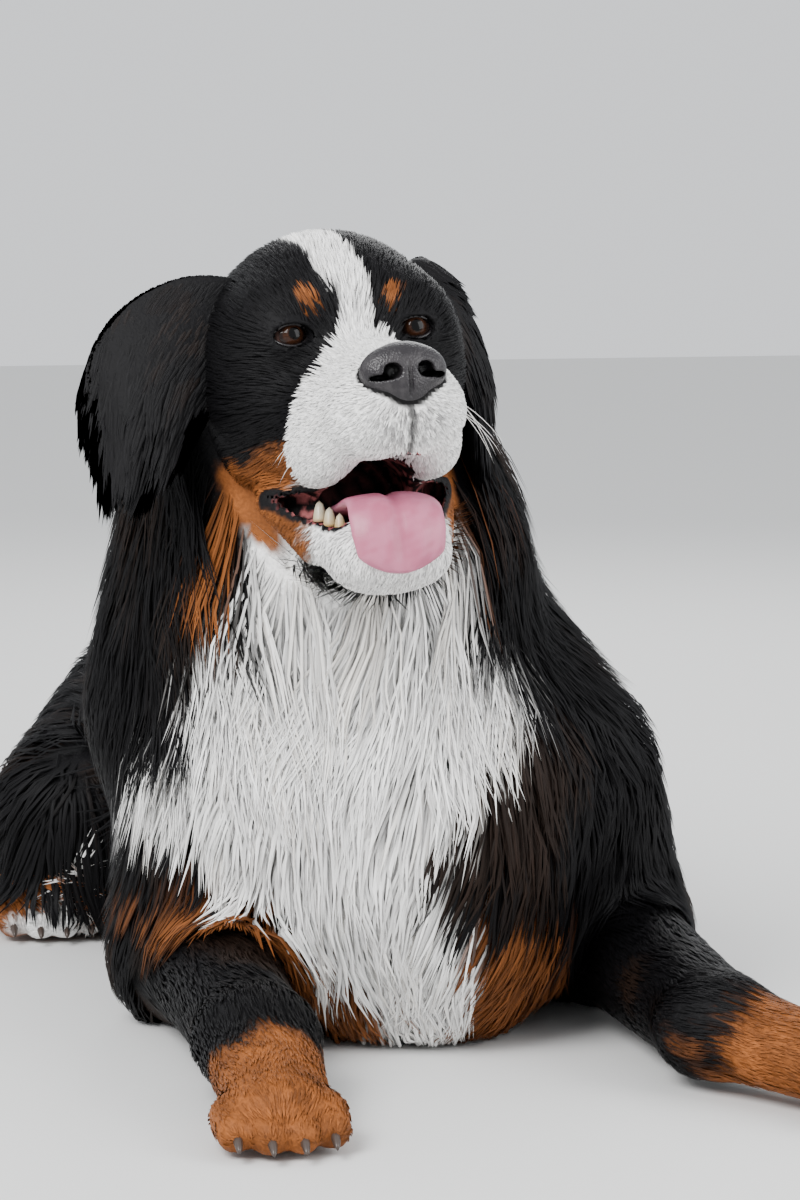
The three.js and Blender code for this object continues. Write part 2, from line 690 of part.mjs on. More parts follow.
const croup = coat(trunkField, trunkPath, {
  lie: bodyLie,
  rows: 3,
  columns: 4,
  span: [0.71, 0.98],
  arc: [-10, 190],
  length: LOCK_LENGTH,
  half: LOCK_HALF_WIDTH + 8,
  seed: 14,
  bare: (p) => p.z < 50,
});
addPiece("rump", "black", (extra) => {
  const options = { sides: 18, rows: 10, span: [2 / 3, 1], flatStart: true, grow: CORE_SHARE, extra };
  return coated(mould(trunkField, trunkPath, options), croup, extra);
});
const tailField = new Field(
  TAIL.slice(1).map((p, i) => new Limb(TAIL[i], p, TAIL_RADIUS + 4 - 3 * i, TAIL_RADIUS + 1 - 3 * i, { coat: TAIL_COAT })),
);
const tailPath = line(...TAIL);
function tailLie(p) {
  const samples = Array.from({ length: 21 }, (_, i) => i / 20);
  const nearest = samples.reduce((a, b) => (tailPath.getPoint(b).distanceTo(p) < tailPath.getPoint(a).distanceTo(p) ? b : a));
  return tailPath.getTangent(nearest);
}
const TAIL_LOCKS = { lie: tailLie, rows: 2, columns: 3, length: 95, half: 22, bare: (p) => p.z < 20 };
const tailPieces = [
  ["tail_base", "black", [0, 0.5], { flatEnd: true, rows: 8 }, { span: [0.1, 0.45], seed: 15 }],
  ["tail_tip", "white", [0.5, 1], { flatStart: true, rows: 9 }, { span: [0.56, 0.92], seed: 16 }],
];
for (const [name, look, span, ends, place] of tailPieces) {
  const plume = coat(tailField, tailPath, { ...TAIL_LOCKS, ...place });
  addPiece(name, look, (extra) =>
    coated(mould(tailField, tailPath, { sides: 12, span, grow: CORE_SHARE, extra, ...ends }), plume, extra),
  );
}

const dog = new THREE.Group();
for (const { name, look, body } of pieces) {
  const { vertProperties, triVerts } = body.getMesh();
  const geometry = new THREE.BufferGeometry();
  geometry.setAttribute("position", new THREE.BufferAttribute(new Float32Array(vertProperties), 3));
  geometry.setIndex(new THREE.BufferAttribute(new Uint32Array(triVerts), 1));
  geometry.computeVertexNormals();
  const mesh = new THREE.Mesh(geometry, new THREE.MeshStandardMaterial({ metalness: 0, ...COLOURS[look] }));
  mesh.name = name;
  dog.add(mesh);
}

export default dog;
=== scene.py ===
"""Dresses the still, life-size Bernese mountain dog: one skin, a coat of solid tufts, and the face."""

import logging
import math
from collections.abc import Callable
from dataclasses import dataclass, field
from enum import Enum

import bpy
import numpy as np
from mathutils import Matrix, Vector
from mathutils.bvhtree import BVHTree
from mathutils.kdtree import KDTree


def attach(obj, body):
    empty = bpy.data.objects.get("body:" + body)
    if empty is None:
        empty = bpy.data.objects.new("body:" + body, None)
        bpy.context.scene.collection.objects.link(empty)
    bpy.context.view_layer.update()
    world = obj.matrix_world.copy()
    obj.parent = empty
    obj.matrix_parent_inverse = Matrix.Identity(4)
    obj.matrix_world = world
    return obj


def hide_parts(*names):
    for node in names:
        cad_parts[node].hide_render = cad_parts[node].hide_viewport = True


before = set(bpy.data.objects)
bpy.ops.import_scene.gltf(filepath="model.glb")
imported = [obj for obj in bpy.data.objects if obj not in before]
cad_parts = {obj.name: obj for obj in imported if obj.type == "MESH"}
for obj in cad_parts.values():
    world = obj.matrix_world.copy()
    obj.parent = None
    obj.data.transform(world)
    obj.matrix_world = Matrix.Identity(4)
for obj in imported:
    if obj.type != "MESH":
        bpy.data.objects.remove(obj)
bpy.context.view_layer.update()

LOG = logging.getLogger("bernese")
MM = 0.001
PROBE = 1.0 * MM
FLOOR_GAP = 0.6 * MM
SKIN_GROW = 0.45  # the skin, with its under-coat, fills this share of the depth of the coat
ROOT_DEPTH = 0.0012  # how far a tuft's root is sunk into the skin
TUFT_FLOOR = 0.0022  # the lowest that the middle of a tuft may run
TUFT_TRIANGLES = 190_000  # the most triangles in one piece of the coat
STEP_IN, STEP_OUT = -0.02, 0.03  # how far one step may bring a tuft back to its depth
TUFTS_FOR_GUIDE = 9  # one guide tuft is drawn for so many
GUIDE_NEAR, GUIDE_FAR = 0.012, 0.03  # a guide draws fully within the first distance, and not past the second
GATHER = 0.78  # how much of its distance from the guide a tip gives up
BAKE_PATCH = 0.003  # the side of each tuft's patch on the bake map
BAKE_INSET = 0.02  # how far roots are drawn to the middle of their face on it
DEPTH_LOW, DEPTH_HIGH = 0.0019, 0.028  # the least and the greatest depth of the coat
BURIED_HEAD, BURIED_BODY = -0.006, -0.002  # how deep skin lies in the other form before it stays bare

PAINT = "Coat"  # the colour attribute that the finishes read
SHADER = "Principled BSDF"
JAW_LIP_PAINT, LIP_PAINT = 0.0050, 0.0020  # how far the lip's colour reaches from the open mouth
JAW_LIP_BARE, LIP_BARE = 0.0042, 0.0010  # how far the hairless lip reaches from it
NOSE_BARE = 0.0012  # how far the hairless skin reaches round the nose leather
FLOOR_SIDE = 0.012  # skin below this height that faces down grows no coat
WHISKER_REACH = ((22, 36), (-6, 14), (-44, -18))  # sideways, ahead and up, in head millimetres

Points = np.ndarray
Triple = tuple[float, float, float]


def mm(*values: float) -> Points:
    """A point or size given in millimetres, in metres."""
    return np.array(values, np.float64) * MM


def smoothstep(values: Points, low: float, high: float) -> Points:
    """A soft step from 0 at low to 1 at high.

    Args:
        values: The numbers to step.
        low: Where the step starts.
        high: Where the step ends; it may be below low.

    Returns:
        Numbers from 0 to 1.
    """
    share = np.clip((values - low) / (high - low), 0.0, 1.0)
    return share * share * (3.0 - 2.0 * share)


def blend(first: Points, second: Points, share: Points) -> Points:
    """The first where the share is 0, and the second where it is 1."""
    return np.asarray(first) * (1 - share) + np.asarray(second) * share


def melt(first: Points, second: Points, reach: float) -> Points:
    """The smaller of two distances, rounded where they are closer to each other than the reach."""
    h = np.maximum(reach - np.abs(first - second), 0.0) / reach
    return np.minimum(first, second) - h * h * reach / 4.0


def unit(vectors: Points) -> Points:
    """The rows of vectors, each at length 1."""
    return vectors / np.maximum(np.linalg.norm(vectors, axis=-1, keepdims=True), 1e-9)


def ripple(points: Points, scale: float, seed: int) -> Points:
    """Smooth noise that is the same at the same place.

    Args:
        points: Places in metres, one in each row.
        scale: Rough size of a swell, in metres.
        seed: Picks the noise.

    Returns:
        Numbers from about -1 to 1, one for each point.
    """
    random = np.random.default_rng(seed)
    total = np.zeros(len(points))
    for octave in range(5):
        waves = random.normal(size=(3, 3)) * (1.4 ** octave) / scale
        phases = random.uniform(0, 2 * math.pi, 3)
        total += np.sin(points @ waves.T + phases).prod(axis=1) * (0.75 ** octave)
    return np.clip(total, -1.0, 1.0)


class Region(Enum):
    """The parts of the dog that its coat is sorted by."""

    HEAD = "head"
    JAW = "jaw"
    NECK = "neck"
    TRUNK = "trunk"
    ARM = "arm"
    FORELEG = "foreleg"
    HIND_FOOT = "hind_foot"
    LOWER_LEG = "lower_leg"
    THIGH = "thigh"
    TAIL = "tail"


@dataclass
class Limb:
    """A tapered limb between two points, wide times as broad as it is deep."""

    start: Points
    end: Points
    r0: float
    r1: float
    coat: float = 0.0
    blend: float = 20.0
    wide: float = 1.0

    def distance(self, points: Points, grow: float) -> Points:
        """Signed distance in millimetres, with grow times the depth of the coat added."""
        squash = np.array([1.0 / self.wide, 1.0, 1.0])
        q = (points - self.start) * squash
        axis = (self.end - self.start) * squash
        t = np.clip(q @ axis / (axis @ axis), 0.0, 1.0)
        radius = self.r0 + (self.r1 - self.r0) * t + self.coat * grow
        return np.linalg.norm(q - t[:, None] * axis, axis=1) - radius


@dataclass
class Mass:
    """A soft egg-shaped mass."""

    centre: Points
    radii: Points
    coat: float = 0.0
    blend: float = 20.0

    def distance(self, points: Points, grow: float) -> Points:
        """Signed distance in millimetres, with grow times the depth of the coat added."""
        q = points - self.centre
        r = self.radii + self.coat * grow
        k0 = np.linalg.norm(q / r, axis=1)
        k1 = np.linalg.norm(q / (r * r), axis=1)
        return k0 * (k0 - 1.0) / np.maximum(k1, 1e-9)


def limb(start: Triple, end: Triple, r0: float, r1: float, **extra: float) -> Limb:
    """A Limb from plain numbers in millimetres."""
    return Limb(np.array(start, float), np.array(end, float), r0, r1, **extra)


def mass(centre: Triple, radii: Triple, **extra: float) -> Mass:
    """A Mass from plain numbers in millimetres."""
    return Mass(np.array(centre, float), np.array(radii, float), **extra)


@dataclass(eq=False)
class Pose:
    """Where the head stands: a turn, a lift, a roll and a size round the midpoint of the eyes."""

    origin: Points
    turn: float
    lift: float
    roll: float
    scale: float

    def __post_init__(self) -> None:
        """Works out the matrix of the three turns."""
        cz, sz = math.cos(math.radians(self.turn)), math.sin(math.radians(self.turn))
        cx, sx = math.cos(math.radians(self.lift)), math.sin(math.radians(self.lift))
        cy, sy = math.cos(math.radians(self.roll)), math.sin(math.radians(self.roll))
        about_z = np.array([[cz, -sz, 0], [sz, cz, 0], [0, 0, 1]])
        about_x = np.array([[1, 0, 0], [0, cx, -sx], [0, sx, cx]])
        about_y = np.array([[cy, 0, sy], [0, 1, 0], [-sy, 0, cy]])
        self.matrix = about_z @ about_x @ about_y

    def local(self, points: Points) -> Points:
        """World metres to head millimetres."""
        return (points - self.origin) @ self.matrix / (self.scale * MM)

    def world(self, points: Points) -> Points:
        """Head millimetres to world metres."""
        return np.asarray(points, float) * (self.scale * MM) @ self.matrix.T + self.origin

    def direction(self, vectors: Points) -> Points:
        """Head directions to world directions."""
        return np.asarray(vectors, float) @ self.matrix.T


HEAD_POSE = Pose(mm(-87, -165, 494), 3.3, -3.5, -2.8, 1.034)
BODY_POSE = Pose(mm(0, 0, 0), 0.0, 0.0, 0.0, 1.0)


@dataclass
class Form:
    """Limbs and masses that melt into one soft form, less what is cut from it."""

    parts: list[Limb | Mass]
    pose: Pose = BODY_POSE
    region: Region = Region.HEAD
    cuts: list["Form"] = field(default_factory=list)

    def distance(self, points: Points, grow: float = 0.0) -> Points:
        """Signed distance of world points, in metres.

        Args:
            points: World points in metres.
            grow: How much of the depth of the coat is added, from 0 to 1.

        Returns:
            One distance for each point, negative inside.
        """
        q = self.pose.local(points)
        total = np.full(len(q), 1e6)
        for part in self.parts:
            total = melt(total, part.distance(q, grow), part.blend)
        total = total * self.pose.scale * MM
        for cut in self.cuts:
            total = np.maximum(total, -cut.distance(points))
        return total


@dataclass
class Anatomy:
    """Every form of the dog, and how they melt together."""

    forms: list[Form]
    join: float = 24.0 * MM

    def distance(self, points: Points, grow: float = 0.0) -> Points:
        """Signed distance to the whole dog, in metres, above the floor."""
        total = np.full(len(points), 1e3)
        for form in self.forms:
            total = melt(total, form.distance(points, grow), self.join)
        return np.maximum(total, FLOOR_GAP - points[:, 2])

    def nearest(self, points: Points) -> Points:
        """The number of the form that each point lies on."""
        return np.argmin(np.stack([form.distance(points) for form in self.forms]), axis=0)


def gradient(distance: Callable[[Points], Points], points: Points, here: Points) -> Points:
    """The outward normals of a distance at some points.

    Args:
        distance: Gives the signed distance of points.
        points: Where the normals are wanted.
        here: The distances at those points.

    Returns:
        One unit vector for each point.
    """
    steps = [distance(points + PROBE * np.eye(3)[axis]) - here for axis in range(3)]
    return unit(np.stack(steps, axis=1))


CORNERS = np.array([[x, y, z] for x in (0, 1) for y in (0, 1) for z in (0, 1)])
EDGES = [(a, b) for a in range(8) for b in range(a + 1, 8) if np.abs(CORNERS[a] - CORNERS[b]).sum() == 1]
COARSE = 4


@dataclass
class Moulder:
    """Casts a closed skin of four-sided faces over a signed distance."""

    distance: Callable[[Points], Points]
    low: Points
    high: Points
    step: float

    def values(self) -> tuple[Points, Points]:
        """Distances on a grid, worked out only near the surface.

        Returns:
            The grid of distances.
        """
        blocks = np.ceil((self.high - self.low) / (self.step * COARSE)).astype(int)
        wide = self.step * COARSE
        places = np.stack(np.meshgrid(*[np.arange(n + 1) for n in blocks], indexing="ij"), -1)
        coarse = self.distance(self.low + wide * places.reshape(-1, 3)).reshape(blocks + 1)
        near = np.abs(coarse) < wide * 1.9
        block = np.zeros(blocks, bool)
        for x, y, z in CORNERS:
            block |= near[x:x + blocks[0], y:y + blocks[1], z:z + blocks[2]]
        cells = np.argwhere(block)
        inner = np.stack(np.meshgrid(*[np.arange(COARSE)] * 3, indexing="ij"), -1).reshape(-1, 3)
        nodes = (cells[:, None, :] * COARSE + inner[None]).reshape(-1, 3)
        grid = coarse[:-1, :-1, :-1]
        for axis in range(3):
            grid = np.repeat(grid, COARSE, axis=axis)
        grid = grid.copy()
        grid[tuple(nodes.T)] = self.distance(self.low + self.step * nodes)
        return grid

    def cast(self) -> tuple[Points, Points]:
        """The skin's points and its four-sided faces."""
        grid = self.values()
        size = np.array(grid.shape) - 1
        inside = grid < 0
        count = np.zeros(size, np.int8)
        for x, y, z in CORNERS:
            count += inside[x:x + size[0], y:y + size[1], z:z + size[2]]
        active = (count > 0) & (count < 8)
        cells = np.argwhere(active)
        number = np.full(size, -1)
        number[active] = np.arange(len(cells))
        total, hits = np.zeros((len(cells), 3)), np.zeros(len(cells))
        corner_values = [grid[tuple((cells + corner).T)] for corner in CORNERS]
        for a, b in EDGES:
            va, vb = corner_values[a], corner_values[b]
            crosses = (va < 0) != (vb < 0)
            share = np.where(crosses, va / np.where(crosses, va - vb, 1.0), 0.0)
            point = CORNERS[a] + (CORNERS[b] - CORNERS[a]) * share[:, None]
            total += np.where(crosses[:, None], point, 0.0)
            hits += crosses
        points = self.low + self.step * (cells + total / hits[:, None])
        faces = []
        for axis in range(3):
            u, w = (axis + 1) % 3, (axis + 2) % 3
            shift = np.eye(3, dtype=int)
            start = tuple(slice(1, -1) if k != axis else slice(0, -1) for k in range(3))
            end = tuple(slice(1, -1) if k != axis else slice(1, None) for k in range(3))
            here, there = inside[start], inside[end]
            places = np.argwhere(here != there) + np.array([0 if k == axis else 1 for k in range(3)])
            out = inside[tuple(places.T)]
            ring = [places, places - shift[u], places - shift[u] - shift[w], places - shift[w]]
            quad = np.stack([number[tuple(each.T)] for each in ring], axis=1)
            quad[out] = quad[out][:, ::-1]
            faces.append(quad)
        faces = np.concatenate(faces)
        faces = faces[(faces >= 0).all(axis=1)][:, ::-1]
        for _ in range(3):
            here = self.distance(points)
            out = gradient(self.distance, points, here)
            points = points - out * np.clip(here, -self.step, self.step)[:, None]
        return points, outward(points, faces)


def outward(points: Points, faces: Points) -> Points:
    """The faces of a closed mesh, turned round where they point inwards.

    Args:
        points: World points in metres.
        faces: Rows of point numbers that close the mesh.

    Returns:
        The same faces, pointing outwards.
    """
    corners = points[faces]
    volume = 0.0
    for k in range(1, faces.shape[1] - 1):
        volume += np.sum(corners[:, 0] * np.cross(corners[:, k], corners[:, k + 1]))
    return faces if volume > 0.0 else faces[:, ::-1]


def mesh_piece(name: str, points: Points, faces: Points) -> bpy.types.Object:
    """A smooth mesh object from arrays.

    Args:
        name: The piece's name.
        points: World points in metres.
        faces: Rows of point numbers, all with the same count.

    Returns:
        The new object, at the origin.
    """
    mesh = bpy.data.meshes.new(name)
    mesh.vertices.add(len(points))
    mesh.vertices.foreach_set("co", points.astype(np.float32).ravel())
    mesh.loops.add(faces.size)
    mesh.loops.foreach_set("vertex_index", faces.astype(np.int32).ravel())
    mesh.polygons.add(len(faces))
    mesh.polygons.foreach_set("loop_start", np.arange(len(faces), dtype=np.int32) * faces.shape[1])
    mesh.update(calc_edges=True)
    mesh.shade_smooth()
    piece = bpy.data.objects.new(name, mesh)
    bpy.context.scene.collection.objects.link(piece)
    return piece


def paint(piece: bpy.types.Object, colours: Points) -> None:
    """Stores a colour for each point of a mesh.

    Args:
        piece: The mesh object.
        colours: Red, green and blue, one row for each point.
    """
    layer = piece.data.color_attributes.new(name=PAINT, type="FLOAT_COLOR", domain="POINT")
    rows = np.concatenate([colours, np.ones((len(colours), 1))], axis=1)
    layer.data.foreach_set("color", rows.astype(np.float32).ravel())


def lay_uv(piece: bpy.types.Object, name: str, places: Points) -> None:
    """Stores a UV place for each point of a mesh, in a map of its own."""
    layer = piece.data.uv_layers.new(name=name)
    corners = np.empty(len(piece.data.loops), np.int32)
    piece.data.loops.foreach_get("vertex_index", corners)
    layer.uv.foreach_set("vector", places[corners].astype(np.float32).ravel())


# Forms of the head, in millimetres from the midpoint of the eyes.
SIDES = (-1.0, 1.0)
SKULL_COAT, CHEEK_COAT, MUZZLE_COAT = 10.0, 15.0, 4.0
EYE_SPACING, EYE_FRONT, EYE_RADIUS, EYE_BARE = 41.0, -8.0, 12.5, 15.2

MOUTH = Form(
    [
        limb((0, 0, -104), (0, -86, -98), 27, 22, blend=10, wide=1.1),
        mass((0, -96, -84), (14, 14, 16), blend=10),
        *[limb((s * 54, 0, -103), (s * 24, -50, -112), 6, 15, blend=8) for s in SIDES],
    ],
    HEAD_POSE,
)
EYE_SLITS = [
    Form([mass((s * EYE_SPACING, EYE_FRONT - 15, 0.5), (13.0, 15, 7.6), blend=1)], HEAD_POSE) for s in SIDES
]
EYE_BEDS = [
    Form([mass((s * EYE_SPACING, EYE_FRONT, 0), (EYE_RADIUS - 0.6,) * 3, blend=1)], HEAD_POSE) for s in SIDES
]
NOSE_BED = Form([mass((0, -114, -24), (20, 12, 12), blend=1)], HEAD_POSE)
HEAD = Form(
    [
        mass((0, 46, 10), (62, 64, 50), coat=SKULL_COAT, blend=24),
        *[mass((s * 36, 4, 15), (20, 16, 12), coat=4, blend=20) for s in SIDES],
        *[mass((s * 47, 30, -22), (26, 42, 38), coat=CHEEK_COAT, blend=30) for s in SIDES],
        *[mass((s * 38, 32, -62), (26, 36, 34), coat=CHEEK_COAT, blend=30) for s in SIDES],
        limb((0, -14, -28), (0, -98, -31), 25, 21, coat=MUZZLE_COAT, blend=26),
        *[limb((s * 30, -12, -56), (s * 20, -88, -50), 24, 22, coat=MUZZLE_COAT, blend=22) for s in SIDES],
        *[mass((s * 36, -38, -74), (15, 34, 18), coat=MUZZLE_COAT, blend=18) for s in SIDES],
        mass((0, -96, -52), (30, 22, 22), coat=MUZZLE_COAT, blend=18),
        *[mass((s * EYE_SPACING, EYE_FRONT, 0), (EYE_RADIUS + 2.2,) * 3, coat=2, blend=9) for s in SIDES],
    ],
    HEAD_POSE,
    Region.HEAD,
    [MOUTH, NOSE_BED, *EYE_SLITS, *EYE_BEDS],
)
JAW = Form(
    [
        *[limb((s * 38, 14, -88), (s * 17, -66, -136), 20, 14, coat=MUZZLE_COAT, blend=14) for s in SIDES],
        mass((0, -64, -141), (29, 25, 13), coat=MUZZLE_COAT, blend=20),
        limb((0, 20, -108), (0, -46, -138), 30, 18, coat=MUZZLE_COAT, blend=24, wide=1.3),
        *[limb((s * 55, 2, -104), (s * 42, -34, -132), 9, 8, blend=12) for s in SIDES],
    ],
    HEAD_POSE,
    Region.JAW,
    [MOUTH],
)
NOSE_CUTS = [
    Form(
        [
            mass((s * 10.5, -124, -24.5), (5.8, 9, 5.0), blend=3),
            mass((s * 17, -117, -28.5), (7, 8, 2.4), blend=3),
        ],
        HEAD_POSE,
    )
    for s in SIDES
]
NOSE_PAD = Form(
    [
        mass((0, -112, -23), (23, 13, 16), blend=10),
        mass((0, -114, -38), (13, 10, 12), blend=14),
        *[mass((s * 16, -110, -26), (11, 11, 11), blend=8) for s in SIDES],
    ],
    HEAD_POSE,
)
NOSE = Form(
    NOSE_PAD.parts,
    HEAD_POSE,
    Region.HEAD,
    [*NOSE_CUTS, Form([limb((0, -126, -20), (0, -125.5, -52), 1.5, 1.5, blend=1)], HEAD_POSE)],
)


def near_lips(points: Points, margin: Points) -> Points:
    """Which points lie within a margin of the open mouth, but not under the jaw."""
    gap = MOUTH.distance(points)
    away = gradient(MOUTH.distance, points, gap)
    return (gap < 0.001) | ((gap < margin) & (away[:, 2] > -0.55))


# Forms of the body, in millimetres.
RUFF_COAT, BODY_COAT, THIGH_COAT, FOREARM_COAT, FOOT_COAT, TAIL_COAT = 45.0, 35.0, 32.0, 13.0, 6.0, 42.0
NECK_TOP = (-86.0, -68.0, 425.0)
NECK = Form(
    [
        limb((-58, 10, 235), NECK_TOP, 114, 72, coat=RUFF_COAT, blend=40, wide=1.12),
        limb(NECK_TOP, (-88, -84, 448), 64, 50, coat=18, blend=40),
        mass((-64, -98, 320), (80, 50, 80), coat=RUFF_COAT, blend=40),
    ],
    region=Region.NECK,
    cuts=[MOUTH],
)
TRUNK_HEIGHT, RIB_RADIUS, RIB_WIDTH, HIP_Y, REAR_SHIFT = 150.0, 135.0, 0.85, 530.0, 15.0
BARREL_END = (-5.0, 350.0, TRUNK_HEIGHT)
TRUNK = Form(
    [
        limb((-25, -10, TRUNK_HEIGHT + 5), BARREL_END, RIB_RADIUS, RIB_RADIUS - 6, coat=BODY_COAT, blend=50,
             wide=RIB_WIDTH),
        mass((-8, -35, 108), (90, 110, 98), coat=BODY_COAT, blend=50),
        mass((-30, -90, 185), (88, 56, 85), coat=RUFF_COAT, blend=50),
        mass((-46, 60, 250), (60, 105, 48), coat=BODY_COAT, blend=50),
        *[mass((-32 + s * 92, -12, 180), (46, 80, 90), coat=BODY_COAT, blend=50) for s in SIDES],
        limb(BARREL_END, (REAR_SHIFT - 3, HIP_Y - 50, TRUNK_HEIGHT), RIB_RADIUS - 6, 122, coat=BODY_COAT,
             blend=50, wide=RIB_WIDTH),
        mass((REAR_SHIFT, HIP_Y + 10, TRUNK_HEIGHT - 2), (105, 105, 122), coat=BODY_COAT, blend=50),
    ],
    region=Region.TRUNK,
)


@dataclass
class Leg:
    """The joints of one side's two legs, in millimetres."""

    shoulder: Triple
    elbow: Triple
    wrist: Triple
    toe: Triple
    hip: Triple
    knee: Triple
    hock: Triple
    hind_toe: Triple

    def forms(self) -> list[Form]:
        """The forms of both legs, from the shoulder and the hip down."""
        paw = [
            limb(self.wrist, self.toe, 27, 20, coat=FOOT_COAT, blend=16, wide=1.35),
            *toe_limbs(self.wrist, self.toe),
        ]
        foot = [
            limb(self.hock, self.hind_toe, 26, 22, coat=FOOT_COAT, blend=16, wide=1.3),
            *toe_limbs(self.hock, self.hind_toe),
        ]
        return [
            Form([limb(self.shoulder, self.elbow, 58, 44, coat=FOREARM_COAT + 12)], region=Region.ARM),
            Form([limb(self.elbow, self.wrist, 38, 27, coat=FOREARM_COAT), *paw], region=Region.FORELEG),
            Form([limb(self.hip, self.knee, 84, 50, coat=THIGH_COAT)], region=Region.THIGH),
            Form([limb(self.knee, self.hock, 46, 30, coat=FOREARM_COAT)], region=Region.LOWER_LEG),
            Form(foot, region=Region.HIND_FOOT),
        ]


TOE_SPACING, TOE_HEIGHT = 20.0, 19.0


def toe_places(heel: Triple, tip: Triple) -> list[tuple[Points, Points]]:
    """The middle and the heading of each of a foot's four toes, in millimetres."""
    forward = np.array([tip[0] - heel[0], tip[1] - heel[1], 0.0])
    forward /= np.linalg.norm(forward)
    across = np.cross(forward, (0.0, 0.0, 1.0))
    places = []
    for place in (-1.5, -0.5, 0.5, 1.5):
        reach = 14.0 if abs(place) < 1.0 else 4.0
        middle = np.array(tip) + across * place * TOE_SPACING + forward * reach
        middle[2] = TOE_HEIGHT
        places.append((middle, forward))
    return places


def toe_limbs(heel: Triple, tip: Triple) -> list[Limb]:
    """Four toes side by side at the end of a foot."""
    return [
        Limb(middle - forward * 14.0, middle + forward * 11.0 - np.array([0, 0, 4.0]), 12.0, 10.0,
             coat=4.0, blend=7.0)
        for middle, forward in toe_places(heel, tip)
    ]


RIGHT_LEG = Leg((-118, -60, 170), (-152, 10, 52), (-163, -228, 40), (-176, -352, 24),
                (-51, 525, 128), (-175, 358, 84), (-183, 535, 44), (-203, 330, 24))
LEFT_LEG = Leg((88, -60, 170), (146, 0, 52), (138, -270, 40), (212, -388, 24),
               (87, 525, 132), (180, 365, 100), (180, 535, 44), (210, 330, 24))
TAIL_LINE = [(15, 610, 190), (11, 685, 125), (31, 765, 62), (100, 845, 46), (195, 895, 42)]
TAIL = Form(
    [
        limb(a, b, 24 - 3 * i, 21 - 3 * i, coat=TAIL_COAT)
        for i, (a, b) in enumerate(zip(TAIL_LINE, TAIL_LINE[1:]))
    ],
    region=Region.TAIL,
)
BODY_FORMS = [NECK, TRUNK, *RIGHT_LEG.forms(), *LEFT_LEG.forms(), TAIL]


@dataclass(frozen=True)
class Pelt:
    """The colours of the coat and of the bare skin."""

    black: Triple = (0.0036, 0.0034, 0.0040)
    umber: Triple = (0.020, 0.011, 0.007)
    tan: Triple = (0.205, 0.066, 0.017)
    white: Triple = (0.90, 0.89, 0.87)
    cream: Triple = (0.72, 0.63, 0.50)
    grey: Triple = (0.30, 0.29, 0.29)
    lip: Triple = (0.005, 0.0045, 0.005)
    gum: Triple = (0.42, 0.13, 0.13)


@dataclass(frozen=True)
class FaceColours:
    """The colours painted on tongue, eyes, nose and teeth."""

    tongue: Triple = (0.40, 0.105, 0.175)
    tongue_pale: Triple = (0.46, 0.145, 0.225)
    tongue_vein: Triple = (0.30, 0.075, 0.125)
    tongue_rim: Triple = (0.54, 0.20, 0.28)
    iris: Triple = (0.026, 0.010, 0.005)
    iris_edge: Triple = (0.012, 0.007, 0.006)
    eye_white: Triple = (0.06, 0.035, 0.03)
    pupil: float = 0.001
    nose: Triple = (0.016, 0.014, 0.016)
    nose_sheen: Triple = (0.030, 0.027, 0.029)
    tooth: Triple = (0.74, 0.68, 0.50)
    tooth_stain: Triple = (0.55, 0.36, 0.10)


FACE = FaceColours()


